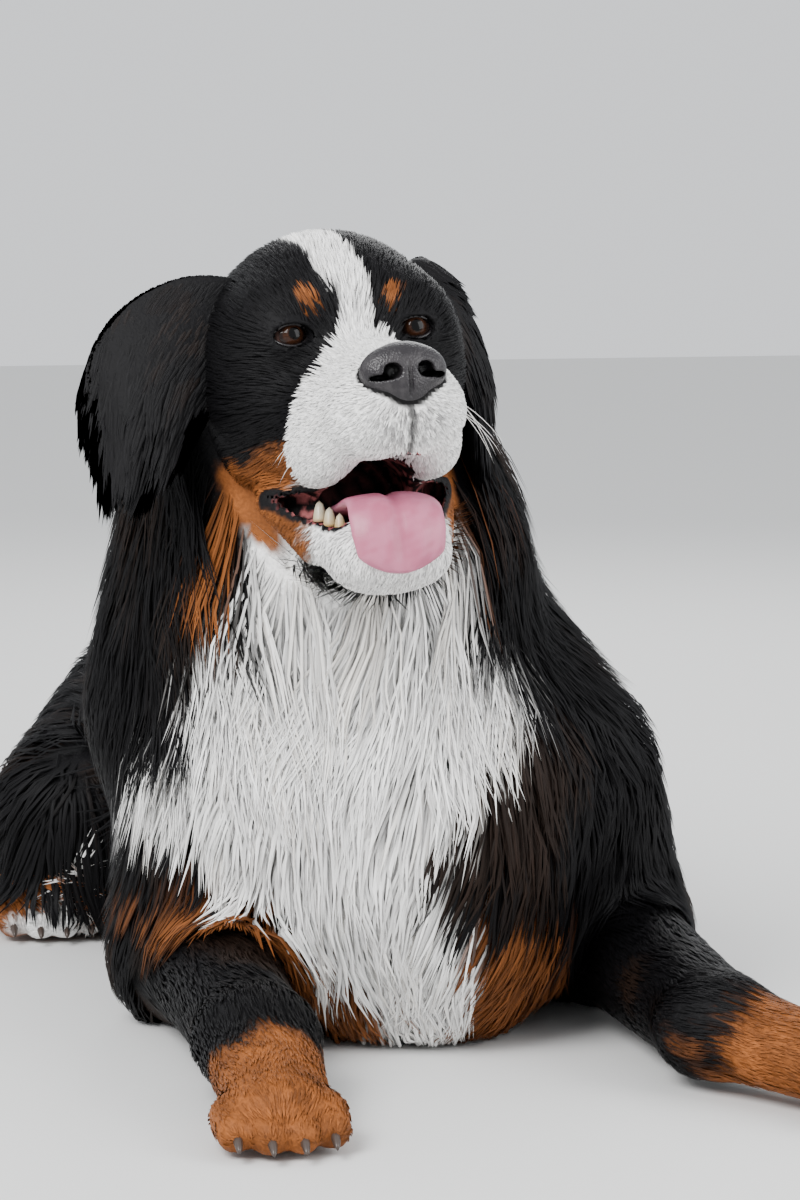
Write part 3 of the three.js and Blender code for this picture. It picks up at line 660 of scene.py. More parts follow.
@dataclass
class Markings:
    """Where the dog is white, tan and black, in real sizes."""

    pelt: Pelt = field(default_factory=Pelt)
    blaze_half: float = 9.5
    brow_places: tuple[tuple[float, float], ...] = ((-27.0, 17.0), (23.0, 17.0))
    bib_heights: tuple[float, ...] = (0.08, 0.13, 0.20, 0.25, 0.31, 0.36, 0.42)
    bib_right: tuple[float, ...] = (-0.06, -0.12, -0.20, -0.185, -0.180, -0.148, -0.122)
    bib_left: tuple[float, ...] = (0.015, 0.01, -0.015, -0.01, 0.02, -0.005, -0.045)

    def head(self, points: Points) -> tuple[Points, Points, Points]:
        """How white, tan and grey the head is at some world points."""
        x, y, z = HEAD_POSE.local(points).T
        wobble = ripple(points, 0.012, 3) * 2.2
        side = np.abs(x)
        forehead = np.maximum(z - 14.0, 0.0) * 0.12
        lean = 0.30 * np.maximum(z - 20.0, 0.0)
        crown = smoothstep(y, 88.0, 52.0)
        muzzle = 66.0 * smoothstep(y + 0.22 * (z + 40.0), -16.0, -66.0)
        half = (self.blaze_half + forehead) * crown + muzzle
        white = smoothstep(half - np.abs(x + lean) + wobble, -1.5, 1.5) * smoothstep(z, -104.0, -96.0)
        chin = smoothstep(-y - 34.0 + wobble * 2.0, -3.0, 3.0) * smoothstep(44.0 - side, -3.0, 3.0)
        under_chin = smoothstep(44.0 - side + wobble * 2.0, -5.0, 5.0) * smoothstep(z, -112.0, -120.0)
        chin = np.maximum(chin, under_chin)
        white = np.maximum(white, chin * smoothstep(z, -98.0, -104.0))
        throat = smoothstep(z, -88.0, -96.0) * smoothstep(side, 48.0, 40.0) * smoothstep(y, -34.0, -28.0)
        white = np.maximum(white, throat)
        seam = smoothstep(side, 2.6, 1.0) * smoothstep(y, -100.0, -106.0) * smoothstep(z, -36.0, -42.0)
        white = white * (1.0 - 0.8 * seam)
        spot = np.minimum(*[np.hypot((x - bx) / 6.3, (z - bz) / 5.6) for bx, bz in self.brow_places])
        brow = smoothstep(spot + wobble * 0.05, 1.15, 0.85) * smoothstep(y, 26.0, 18.0)
        edge = z + 46.0 + 0.72 * np.maximum(side - 26.0, 0.0) + wobble * 2.0
        under = 50.0 * smoothstep(z, -78.0, -92.0)
        cheek = smoothstep(edge, 4.0, -4.0) * smoothstep(side, 22.0, 30.0)
        cheek = cheek * smoothstep(y, 52.0 + under, 34.0 + under)
        streak = smoothstep(np.hypot((side - 92.0) / 7.0, (z + 84.0) / 22.0), 1.2, 0.8)
        tan = np.maximum(np.maximum(brow, cheek), streak * 0.8)
        ticks = smoothstep(np.hypot(x / 26.0, (z + 56.0) / 17.0), 1.1, 0.5) * smoothstep(y, -92.0, -104.0)
        ticks = ticks * smoothstep(ripple(points, 0.0022, 8), -0.25, 0.35) * 0.85
        return white, tan * (1.0 - white), ticks

    def body(self, points: Points, regions: Points) -> tuple[Points, Points]:
        """How white and tan the body is at some world points."""
        x, y, z = points.T
        wobble = ripple(points, 0.05, 5) * 0.013 + ripple(points, 0.016, 6) * 0.006
        right = np.interp(z, self.bib_heights, self.bib_right)
        left = np.interp(z, self.bib_heights, self.bib_left)
        bib = smoothstep(np.minimum(x - right, left - x) + wobble, -0.006, 0.006)
        front = y + wobble * 2.0 + 0.065 * smoothstep(z, 0.35, 0.40)
        bib = bib * smoothstep(front, -0.02, -0.045) * smoothstep(z, 0.445, 0.43)
        is_leg = (regions == Region.FORELEG.value) | (regions == Region.HIND_FOOT.value)
        low_edge = smoothstep(np.minimum(x - right, left - x) + wobble, -0.085, -0.065)
        cuff = low_edge * smoothstep(z + wobble, 0.150, 0.125) * smoothstep(z, 0.03, 0.06)
        cuff = 0.8 * (cuff * smoothstep(y, 0.0, -0.04)) * ~is_leg
        aside = np.abs(x + 0.085) + wobble
        throat_tan = smoothstep(aside, 0.088, 0.074) * smoothstep(z, 0.36, 0.375)
        throat_tan = throat_tan * smoothstep(z, 0.44, 0.42) * smoothstep(y, -0.06, -0.09)
        reach = np.where(regions == Region.HIND_FOOT.value, 0.47, np.where(x < 0, -0.275, -0.30))
        paw = is_leg * smoothstep(y + wobble * 1.5, reach + 0.01, reach - 0.015)
        hock = (regions == Region.LOWER_LEG.value) * smoothstep(z, 0.075, 0.05) * 0.8
        tail = smoothstep(y + 0.4 * x + wobble, 0.905, 0.925) * (regions == Region.TAIL.value)
        toes = (regions == Region.HIND_FOOT.value) * smoothstep(y, 0.315, 0.300)
        white = np.maximum(np.maximum(bib, tail), toes)
        tan = np.maximum.reduce([cuff, throat_tan, paw, hock]) * (1.0 - white)
        return white, tan

    def colour(self, points: Points, regions: Points) -> Points:
        """The colour of the coat at some places.

        Args:
            points: World points in metres.
            regions: The name of the region of each point.

        Returns:
            Red, green and blue, one row for each point.
        """
        on_head = (regions == Region.HEAD.value) | (regions == Region.JAW.value)
        white, tan = self.body(points, regions)
        head_white, head_tan, ticks = self.head(points)
        white, tan = np.where(on_head, head_white, white), np.where(on_head, head_tan, tan)
        ticks = ticks * on_head
        pelt = self.pelt
        brown = smoothstep(ripple(points, 0.06, 9), 0.1, 0.9)[:, None] * 0.7 * (~on_head)[:, None]
        base = blend(pelt.black, pelt.umber, brown)
        rust = np.array(pelt.tan) * (1.0 + 0.35 * ripple(points, 0.02, 12)[:, None])
        warm = smoothstep(ripple(points, 0.03, 13), 0.3, 0.95)[:, None] * 0.3 * (~on_head)[:, None]
        pale = blend(blend(pelt.white, pelt.cream, warm), pelt.grey, ticks[:, None])
        return blend(blend(base, rust, tan[:, None]), pale, white[:, None])


def head_lie(points: Points) -> Points:
    """The way the short coat of the head lies: back from the nose, and down the cheeks."""
    local = HEAD_POSE.local(points)
    away = unit(local - np.array([0.0, -128.0, -34.0]))
    down = smoothstep(local[:, 1], 0.0, 50.0) * smoothstep(local[:, 2], 40.0, -40.0)
    return HEAD_POSE.direction(unit(away + down[:, None] * np.array([0.0, 0.0, -1.1])))


def neck_lie(points: Points) -> Points:
    """The way the ruff lies: down, and a little back behind the throat."""
    back = 0.5 * smoothstep(points[:, 1], -0.12, 0.08)
    spread = 1.2 * (points[:, 0] + 0.08)
    return unit(np.stack([spread, back - 0.08, np.full(len(points), -1.0)], axis=1))


def trunk_lie(points: Points) -> Points:
    """The way the coat of the trunk lies: down the breast, and back and down the flanks."""
    back = smoothstep(points[:, 1], -0.13, 0.06)
    return unit(np.stack([np.zeros(len(points)), back, -1.0 + 0.6 * back], axis=1))


def along_lie(points: Points, line: list[Triple]) -> Points:
    """The heading of the nearest stretch of a line."""
    corners = np.array(line) * MM
    steps = unit(corners[1:] - corners[:-1])
    middles = (corners[1:] + corners[:-1]) / 2.0
    near = np.argmin(np.linalg.norm(points[:, None] - middles[None], axis=2), axis=1)
    return steps[near]


def coat_lie(points: Points, regions: Points) -> Points:
    """The heading of the coat at some places of a region each."""
    lie = trunk_lie(points)
    choices = {
        Region.HEAD: head_lie,
        Region.JAW: head_lie,
        Region.NECK: neck_lie,
        Region.TAIL: lambda p: along_lie(p, TAIL_LINE),
        Region.ARM: lambda p: np.tile(unit(np.array([0.0, 0.3, -1.0])), (len(p), 1)),
        Region.THIGH: lambda p: np.tile(unit(np.array([0.0, 0.45, -1.0])), (len(p), 1)),
    }
    for region, choice in choices.items():
        chosen = regions == region.value
        if chosen.any():
            lie[chosen] = choice(points[chosen])
    legs = {
        Region.FORELEG: lambda leg: [leg.elbow, leg.wrist, leg.toe],
        Region.LOWER_LEG: lambda leg: [leg.knee, leg.hock],
        Region.HIND_FOOT: lambda leg: [leg.hock, leg.hind_toe],
    }
    for region, joints in legs.items():
        for leg, side in ((RIGHT_LEG, points[:, 0] < 0), (LEFT_LEG, points[:, 0] >= 0)):
            chosen = (regions == region.value) & side
            if chosen.any():
                lie[chosen] = along_lie(points[chosen], joints(leg))
    return lie


@dataclass(frozen=True)
class TuftStyle:
    """The shape of the tufts of one kind of coat."""

    per_cm2: float
    length: float
    width: float
    rings: int
    clump: float = 0.6
    stand: float = 0.9
    wave: float = 0.0
    sway: float = 0.22


STYLES = {
    Region.HEAD: TuftStyle(per_cm2=24.0, length=3.0, width=1.3, rings=2, clump=0.2, stand=0.8),
    Region.JAW: TuftStyle(per_cm2=20.0, length=3.4, width=1.3, rings=2, clump=0.25, stand=0.8),
    Region.NECK: TuftStyle(per_cm2=9.5, length=4.3, width=1.9, rings=3, clump=0.5, stand=1.0, wave=0.18,
                           sway=0.42),
    Region.TRUNK: TuftStyle(per_cm2=4.8, length=4.4, width=2.8, rings=3, clump=0.55, stand=1.0, wave=0.16,
                            sway=0.36),
    Region.ARM: TuftStyle(per_cm2=6.5, length=4.4, width=2.4, rings=3, clump=0.55, wave=0.06),
    Region.FORELEG: TuftStyle(per_cm2=10.0, length=4.0, width=1.5, rings=2, clump=0.1, stand=0.45),
    Region.HIND_FOOT: TuftStyle(per_cm2=9.0, length=3.4, width=1.8, rings=2, clump=0.4, stand=0.75),
    Region.LOWER_LEG: TuftStyle(per_cm2=6.0, length=4.0, width=2.6, rings=3, clump=0.5),
    Region.THIGH: TuftStyle(per_cm2=4.3, length=4.3, width=3.0, rings=3, clump=0.55, wave=0.08),
    Region.TAIL: TuftStyle(per_cm2=5.2, length=4.2, width=2.8, rings=3, clump=0.55, wave=0.14, sway=0.3),
}


COAT_NAMES = {
    Region.HEAD: "coat_head",
    Region.JAW: "coat_jaw",
    Region.NECK: "coat_neck",
    Region.TRUNK: "coat_trunk",
    Region.ARM: "coat_arms",
    Region.FORELEG: "coat_forelegs",
    Region.HIND_FOOT: "coat_hind_feet",
    Region.LOWER_LEG: "coat_lower_legs",
    Region.THIGH: "coat_thighs",
    Region.TAIL: "coat_tail",
}


@dataclass
class Tufts:
    """Roots of the coat, one row each, and the lines that the tufts follow."""

    roots: Points
    normals: Points
    lies: Points
    lengths: Points
    depths: Points
    widths: Points
    colours: Points
    bake: Points
    style: TuftStyle
    distance: Callable[[Points], Points] | None = None
    seed: int = 1

    def run(self) -> tuple[list[Points], list[Points]]:
        """The centre line of every tuft.

        Returns:
            The points and the outward directions, for each ring from root to tip.
        """
        random = np.random.default_rng(self.seed)
        steps = self.style.rings
        count = len(self.roots)
        sway = self.style.sway * (ripple(self.roots, 0.045, 55) + random.normal(0, 0.24, count))
        lie = self.lies - self.normals * np.sum(self.lies * self.normals, axis=1, keepdims=True)
        lie = unit(lie)
        lie = unit(lie + np.cross(self.normals, lie) * sway[:, None])
        phase = random.uniform(0, 2 * math.pi, count) * 0.4 + 3.0 * ripple(self.roots, 0.05, 65)
        p, n, d = self.roots.copy(), self.normals.copy(), lie
        line, outs = [p - n * ROOT_DEPTH], [n.copy()]
        for step in range(1, steps + 1):
            s = step / steps
            rise = self.depths * (1.0 - (1.0 - s) ** 1.7)
            side = np.cross(n, d)
            bend = self.style.wave * np.sin(phase + 5.0 * s) * self.lengths / steps
            p = p + d * (self.lengths / steps)[:, None] + side * bend[:, None]
            if self.distance is not None:
                for _ in range(2):
                    here = self.distance(p)
                    n = gradient(self.distance, p, here)
                    p = p + n * np.clip(rise - here, STEP_IN, STEP_OUT)[:, None]
            else:
                p = p + n * (self.depths * 0.35 * (1.0 - s) / steps)[:, None]
                p[:, 2] -= self.lengths * 0.10 * s / steps
            p[:, 2] = np.maximum(p[:, 2], TUFT_FLOOR)
            d = unit(d - n * np.sum(d * n, axis=1, keepdims=True))
            line.append(p.copy())
            outs.append(n.copy())
        return self.clumped(line, random), outs

    def clumped(self, line: list[Points], random: np.random.Generator) -> list[Points]:
        """Draws each tuft towards the guide tuft nearest its root, most at the tip."""
        count = len(self.roots)
        guides = random.choice(count, max(1, count // TUFTS_FOR_GUIDE), replace=False)
        tree = KDTree(len(guides))
        for index, guide in enumerate(guides):
            tree.insert(self.roots[guide], index)
        tree.balance()
        nearest = guides[[tree.find(root)[1] for root in self.roots]]
        apart = self.roots - self.roots[nearest]
        close = smoothstep(np.linalg.norm(apart, axis=1), GUIDE_FAR, GUIDE_NEAR)[:, None]
        drawn = [line[0]]
        for step in range(1, len(line)):
            s = step / (len(line) - 1)
            target = line[step][nearest] + apart * (1.0 - GATHER * s)
            share = self.style.clump * s * close
            drawn.append(blend(line[step], target, share))
        return drawn

    def build(self, name: str, material: bpy.types.Material) -> bpy.types.Object:
        """One mesh of closed, three-sided, tapered tufts.

        Args:
            name: The piece's name.
            material: The finish of the coat.

        Returns:
            The new piece.
        """
        line, outs = self.run()
        rings, count = self.style.rings, len(self.roots)
        points = np.empty((count, 3 * rings + 1, 3))
        strand = np.empty((count, 3 * rings + 1, 2))
        facing = np.empty((count, 3 * rings + 1, 3))
        shade = np.empty((count, 3 * rings + 1))
        offset = np.random.default_rng(self.seed + 7).uniform(0, 40, count)
        for ring in range(rings):
            s = ring / rings
            heading = unit(line[ring + 1] - line[ring])
            across = unit(np.cross(heading, outs[ring]))
            up = np.cross(across, heading)
            half = self.widths * (0.62 + 1.15 * s) * (1.0 - s ** 2.2) * 0.5
            for corner, (sideways, lift) in enumerate(((-1.0, -0.15), (0.0, 0.42), (1.0, -0.15))):
                k = 3 * ring + corner
                points[:, k] = line[ring] + across * (half * sideways)[:, None] + up * (half * lift)[:, None]
                strand[:, k] = np.stack([offset + 0.5 * corner, np.full(count, s)], axis=1)
                # painted shade: each tuft is darker at its root, where the coat above shades it, and lighter
                # towards its tip
                shade[:, k] = 0.78 + 0.27 * s
                facing[:, k] = outs[ring] + across * (0.55 * sideways) + up * 0.2
        points[:, -1] = line[rings]
        strand[:, -1] = np.stack([offset + 0.5, np.ones(count)], axis=1)
        shade[:, -1] = 1.05
        facing[:, -1] = outs[rings]
        points[..., 2] = np.maximum(points[..., 2], FLOOR_GAP)
        faces = [(2, 1, 0)]
        for ring in range(rings - 1):
            for corner in range(3):
                a, b = 3 * ring + corner, 3 * ring + (corner + 1) % 3
                faces += [(b, a + 3, a), (b + 3, a + 3, b)]
        last = 3 * (rings - 1)
        faces += [(last + (c + 1) % 3, 3 * rings, last + c) for c in range(3)]
        faces = np.array(faces)[None] + (np.arange(count) * (3 * rings + 1))[:, None, None]
        piece = mesh_piece(name, points.reshape(-1, 3), faces.reshape(-1, 3))
        # the painted shade darkens each tuft's colour towards its root
        colours = self.colours[:, None, :] * shade[..., None]
        paint(piece, colours.reshape(-1, 3))
        patch = (strand - np.stack([offset + 0.5, np.full(count, 0.5)], axis=1)[:, None]) * BAKE_PATCH
        lay_uv(piece, "OFBake", (self.bake[:, None, :] + patch).reshape(-1, 2))
        lay_uv(piece, "Strand", strand.reshape(-1, 2))
        piece.data.normals_split_custom_set_from_vertices(unit(facing).reshape(-1, 3).tolist())
        piece.data.materials.append(material)
        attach(piece, "root")
        LOG.info("%s: %d tufts, %d triangles", name, count, faces.size // 3)
        return piece


# Finishes.
def set_inputs(node: bpy.types.Node, **values: object) -> None:
    """Sets inputs of a node by name, such as From_Min=0.3."""
    for key, value in values.items():
        node.inputs[key.replace("_", " ")].default_value = value


def add_node(tree: bpy.types.NodeTree, kind: str, **values: object) -> bpy.types.Node:
    """A new node of a tree, with some inputs set."""
    node = tree.nodes.new(kind)
    set_inputs(node, **values)
    return node


def wire(tree: bpy.types.NodeTree, *rows: tuple) -> None:
    """Links nodes, for rows of a node, its output, the next node and its input."""
    for start, output, end, entry in rows:
        tree.links.new(start.outputs[output], end.inputs[entry])


def plain_material(name: str, **values: object) -> bpy.types.Material:
    """A material whose Principled BSDF has the given socket values, such as Roughness=0.5."""
    material = bpy.data.materials.new(name)
    material.use_nodes = True
    set_inputs(material.node_tree.nodes[SHADER], **values)
    return material


@dataclass(frozen=True)
class StrandGroup:
    """Fine streaks along hair, as one node group that coat and skin share."""

    name: str = "Hair strands"

    def make(self) -> bpy.types.NodeTree:
        """Builds the group once: a colour and a place go in, a streaked colour and a normal come out."""
        if self.name in bpy.data.node_groups:
            return bpy.data.node_groups[self.name]
        group = bpy.data.node_groups.new(self.name, "ShaderNodeTree")
        sockets = (
            ("Colour", "INPUT", "NodeSocketColor"),
            ("Place", "INPUT", "NodeSocketVector"),
            ("Fineness", "INPUT", "NodeSocketFloat"),
            ("Relief", "INPUT", "NodeSocketFloat"),
            ("Colour", "OUTPUT", "NodeSocketColor"),
            ("Normal", "OUTPUT", "NodeSocketVector"),
        )
        for label, way, kind in sockets:
            group.interface.new_socket(name=label, in_out=way, socket_type=kind)
        source = add_node(group, "NodeGroupInput")
        result = add_node(group, "NodeGroupOutput")
        noise = add_node(group, "ShaderNodeTexNoise", Detail=3.0)
        bump = add_node(group, "ShaderNodeBump", Distance=0.0012)
        spread = add_node(group, "ShaderNodeMapRange", From_Min=0.3, From_Max=0.7, To_Min=0.80, To_Max=1.18)
        mix = add_node(group, "ShaderNodeVectorMath")
        mix.operation = "SCALE"
        wire(
            group,
            (source, "Place", noise, "Vector"),
            (source, "Fineness", noise, "Scale"),
            (noise, "Fac", bump, "Height"),
            (source, "Relief", bump, "Strength"),
            (noise, "Fac", spread, "Value"),
            (source, "Colour", mix, 0),
            (spread, "Result", mix, "Scale"),
            (mix, "Vector", result, "Colour"),
            (bump, "Normal", result, "Normal"),
        )
        return group


@dataclass(frozen=True)
class HairFinish:
    """The finish of the coat, or of the skin under it, which carry the same painted colours."""

    name: str
    fineness: float
    relief: float
    roughness: float
    stretch: Triple
    on_strand: bool = True

    def make(self) -> bpy.types.Material:
        """Builds the material from the painted colour and the strand group."""
        material = plain_material(self.name, Roughness=self.roughness, Specular_IOR_Level=0.12)
        tree = material.node_tree
        colour = add_node(tree, "ShaderNodeVertexColor")
        colour.layer_name = PAINT
        strands = add_node(tree, "ShaderNodeGroup")
        strands.node_tree = StrandGroup().make()
        set_inputs(strands, Fineness=self.fineness, Relief=self.relief)
        stretch = add_node(tree, "ShaderNodeMapping", Scale=self.stretch)
        place = add_node(tree, "ShaderNodeUVMap" if self.on_strand else "ShaderNodeTexCoord")
        if self.on_strand:
            place.uv_map = "Strand"
        wire(
            tree,
            (place, "UV" if self.on_strand else "Object", stretch, "Vector"),
            (stretch, "Vector", strands, "Place"),
            (colour, "Color", strands, "Colour"),
            (strands, "Colour", tree.nodes[SHADER], "Base Color"),
            (strands, "Normal", tree.nodes[SHADER], "Normal"),
        )
        return material


COAT_FINISH = HairFinish("coat hair", fineness=1.0, relief=0.35, roughness=0.5, stretch=(9.0, 1.1, 1.0))
SKIN_FINISH = HairFinish("skin", fineness=420.0, relief=0.5, roughness=0.6, stretch=(1.0, 1.0, 1.0),
                         on_strand=False)


def noise_bump(material: bpy.types.Material, kind: str, scale: float, strength: float, depth: float) -> None:
    """Gives a material a fine relief from Object coordinates.

    Args:
        material: The material to dress.
        kind: "noise" for a soft grain, or "cells" for a pebbled one.
        scale: Cells for each metre.
        strength: Strength of the bump.
        depth: Depth of the bump in metres.
    """
    tree = material.node_tree
    cells = kind == "cells"
    place = add_node(tree, "ShaderNodeTexCoord")
    texture = add_node(tree, "ShaderNodeTexVoronoi" if cells else "ShaderNodeTexNoise", Scale=scale)
    bump = add_node(tree, "ShaderNodeBump", Strength=strength, Distance=depth)
    wire(
        tree,
        (place, "Object", texture, "Vector"),
        (texture, "Distance" if cells else "Fac", bump, "Height"),
        (bump, "Normal", tree.nodes[SHADER], "Normal"),
    )


def painted(material: bpy.types.Material) -> bpy.types.Material:
    """Makes a material read its base colour from the painted attribute."""
    tree = material.node_tree
    colour = add_node(tree, "ShaderNodeVertexColor")
    colour.layer_name = PAINT
    wire(tree, (colour, "Color", tree.nodes[SHADER], "Base Color"))
    return material


def curve(corners: Points, share: Points) -> Points:
    """Points of a smooth curve through some corners.

    Args:
        corners: The corners, one row each.
        share: How far along the curve each point is, from 0 to 1.

    Returns:
        One row for each share.
    """
    padded = np.vstack([2 * corners[0] - corners[1], corners, 2 * corners[-1] - corners[-2]])
    place = np.clip(share, 0.0, 1.0) * (len(corners) - 1)
    k = np.minimum(place.astype(int), len(corners) - 2)
    u = (place - k)[:, None]
    a, b, c, d = (padded[k + i] for i in range(4))
    square, cube = 2 * a - 5 * b + 4 * c - d, 3 * b - a - 3 * c + d
    return 0.5 * (2 * b + (c - a) * u + square * u ** 2 + cube * u ** 3)


def ring_faces(rows: int, columns: int) -> Points:
    """Four-sided faces between rows of points that each close on themselves, with both ends capped."""
    i, j = np.meshgrid(np.arange(rows - 1), np.arange(columns), indexing="ij")
    i, j = i.ravel(), j.ravel()
    k = (j + 1) % columns
    wall = np.stack([i * columns + j, i * columns + k, (i + 1) * columns + k, (i + 1) * columns + j], axis=1)
    j = np.arange(columns // 2 - 1)
    cap = np.stack([j, j + 1, columns - 2 - j, columns - 1 - j], axis=1)
    return np.concatenate([wall, cap[:, ::-1], cap + (rows - 1) * columns])


@dataclass
class Tongue:
    """A tongue that runs out of the mouth and hangs over the lip, in head millimetres."""

    line: tuple[Triple, ...] = (
        (0, 6, -113), (0, -34, -109), (-1, -66, -105), (-3, -87, -109), (-4, -97, -122), (-4, -99, -137),
        (-4, -97, -149),
    )
    half: tuple[float, ...] = (23.0, 26.0, 28.0, 30.0, 30.0, 28.0, 22.0)
    thick: float = 5.5
    rows: int = 90
    columns: int = 64

    def surface(self) -> tuple[Points, Points, Points]:
        """The closed tongue.

        Returns:
            Its world points, its faces and the colour of each point, with painted shade towards the back of
            the mouth.
        """
        t = np.linspace(0.0, 1.0, self.rows)
        angle = np.linspace(0.0, 2 * math.pi, self.columns, endpoint=False)
        tt, aa = (grid.ravel() for grid in np.meshgrid(t, angle, indexing="ij"))
        corners = np.array(self.line, float)
        middle = curve(corners, tt)
        along = unit(curve(corners, np.minimum(tt + 0.01, 1.0)) - curve(corners, np.maximum(tt - 0.01, 0.0)))
        side = np.tile(np.array([1.0, 0.0, 0.0]), (len(tt), 1))
        over = unit(np.cross(side, along))
        tip = np.sqrt(np.clip(1.0 - np.clip((tt - 0.80) / 0.20, 0.0, 1.0) ** 2, 0.0, 1.0))
        root = np.sqrt(np.clip(1.0 - np.clip((0.05 - tt) / 0.05, 0.0, 1.0) ** 2, 0.0, 1.0))
        round_off = np.maximum(np.minimum(tip, root), 0.004)
        half = np.interp(tt, np.linspace(0, 1, len(self.half)), self.half) * round_off
        across = np.cos(aa)
        top = np.sin(aa)
        over = over * np.where(over[:, 2:3] * 1.0 - over[:, 1:2] < 0, -1.0, 1.0)
        groove = 2.6 * np.exp(-(across * 7.0) ** 2) * np.clip(top, 0, 1) * (1 - smoothstep(tt, 0.80, 0.98))
        crease = 0.35 * np.sin(across * 16.0 + 5.0 * tt) * np.clip(top, 0, 1) * smoothstep(tt, 0.4, 0.7)
        cup = 2.2 * across ** 2 * smoothstep(tt, 0.3, 0.6)
        edge_wave = 1.2 * np.sin(9.0 * tt + 2.0) * across ** 3
        height = self.thick * np.sign(top) * np.abs(top) ** 0.8 * np.minimum(1.0, round_off * 1.6)
        local = middle + side * (across * half)[:, None]
        local = local + over * (height - (groove + crease) * round_off - cup + edge_wave)[:, None]
        points = HEAD_POSE.world(local)
        tone = smoothstep(ripple(points, 0.010, 35), -0.6, 0.8)[:, None]
        colours = blend(FACE.tongue, FACE.tongue_pale, tone)
        vein = np.exp(-(across * 9.0) ** 2)[:, None] * 0.35
        colours = blend(colours, FACE.tongue_vein, vein)
        rim = smoothstep(np.abs(across), 0.86, 1.0)[:, None] * 0.25
        colours = blend(colours, FACE.tongue_rim, rim)
        # painted shade: the tongue is darker towards the back of the mouth
        deep = smoothstep(local[:, 1], -55.0, -8.0)[:, None]
        return points, outward(points, ring_faces(self.rows, self.columns)), colours * (1 - 0.65 * deep)


@dataclass
class Ear:
    """A drop ear: a thin leaf that curls round its cup, in head millimetres."""

    side: str
    line: tuple[Triple, ...]
    face: Triple
    root_half: float
    half: float
    thick: float = 3.5
    rows: int = 40
    columns: int = 36

    def path(self, t: Points) -> tuple[Points, Points]:
        """Points and headings of the middle of the ear in the world, for shares of its length."""
        corners = HEAD_POSE.world(np.array(self.line))
        ahead, behind = curve(corners, np.minimum(t + 0.01, 1.0)), curve(corners, np.maximum(t - 0.01, 0.0))
        return curve(corners, t), unit(ahead - behind)

    def surface(self, t: Points, angle: Points, swell: float = 0.0) -> tuple[Points, Points, Points]:
        """Places on the ear.

        Args:
            t: Share of the ear's length, from 0 at the root to 1 at the tip.
            angle: The way round the leaf, in radians.
            swell: Extra thickness in millimetres.

        Returns:
            World points, the headings of the ear and its outward faces.
        """
        middle, along = self.path(t)
        face = HEAD_POSE.direction(np.array(self.face))
        wide = unit(np.cross(along, face[None]))
        out = np.cross(wide, along)
        round_off = np.sqrt(np.clip(np.sin(math.pi * t), 0.0, 1.0)) * 0.999 + 0.001
        widen = np.sin(math.pi * 0.8 * t) ** 1.4
        across = (self.root_half + (self.half - self.root_half) * widen) * round_off * MM
        thick = (self.thick + swell) * round_off * MM
        curl = 0.25 * across * np.cos(angle) ** 2
        fold = 0.0016 * np.sin(3.0 * angle + 4.0 * t)
        points = middle + wide * (across * np.cos(angle))[:, None]
        points = points + out * (thick * np.sin(angle) - curl + fold)[:, None]
        return points, along, out * np.sign(np.sin(angle) + 1e-9)[:, None]

    def leaf(self) -> tuple[Points, Points]:
        """The closed leaf under the ear's coat, as points and faces."""
        t = np.linspace(0.0, 1.0, self.rows + 1)
        a = np.linspace(0.0, 2 * math.pi, self.columns, endpoint=False)
        grid_t, grid_a = np.meshgrid(t, a, indexing="ij")
        points, _, _ = self.surface(grid_t.ravel(), grid_a.ravel())
        return points, outward(points, ring_faces(self.rows + 1, self.columns))

    def tufts(self, seed: int, count: int) -> Tufts:
        """Long silky hair over both faces and past the edge of the ear."""
        random = np.random.default_rng(seed)
        t = random.uniform(0.02, 0.97, count)
        angle = random.uniform(0, 2 * math.pi, count)
        rim = random.random(count) < 0.28
        angle = np.where(rim, np.round(angle / math.pi) * math.pi + random.normal(0, 0.25, count), angle)
        roots, along, out = self.surface(t, angle)
        edge = np.abs(np.cos(angle))
        fan = unit(np.cross(along, out)) * (np.cos(angle) * np.sign(np.sin(angle) + 1e-9))[:, None]
        down = np.array([0.0, 0.10, -0.45])
        lies = unit(along + fan * -0.25 * edge[:, None] + down)
        lengths = (0.014 + 0.018 * t + 0.008 * edge * t) * random.uniform(0.75, 1.2, count)
        pelt = Pelt()
        brown = smoothstep(ripple(roots, 0.03, seed), 0.2, 0.9)[:, None] * 0.35
        colours = blend(pelt.black, pelt.umber, brown)
        colours = colours * random.uniform(0.75, 1.3, count)[:, None]
        bake = np.stack([0.05 + 0.9 * t, 0.05 + 0.9 * (angle % (2 * math.pi)) / (2 * math.pi)], axis=1)
        style = TuftStyle(per_cm2=8.0, length=1.0, width=2.6, rings=3, clump=0.45, wave=0.07)
        return Tufts(roots, out, lies, lengths, np.full(count, 0.008), random.uniform(1.8, 3.4, count) * MM,
                     colours, bake, style, None, seed)


EARS = (
    Ear("right", ((-46, 38, 34), (-86, 38, 14), (-124, 32, -26), (-142, 25, -74)), (-0.3, -0.95, 0.0),
        root_half=21.0, half=45.0),
    Ear("left", ((48, 38, 34), (82, 40, 22), (99, 32, -24), (97, 25, -74)), (0.88, -0.45, 0.0),
        root_half=23.0, half=40.0),
)


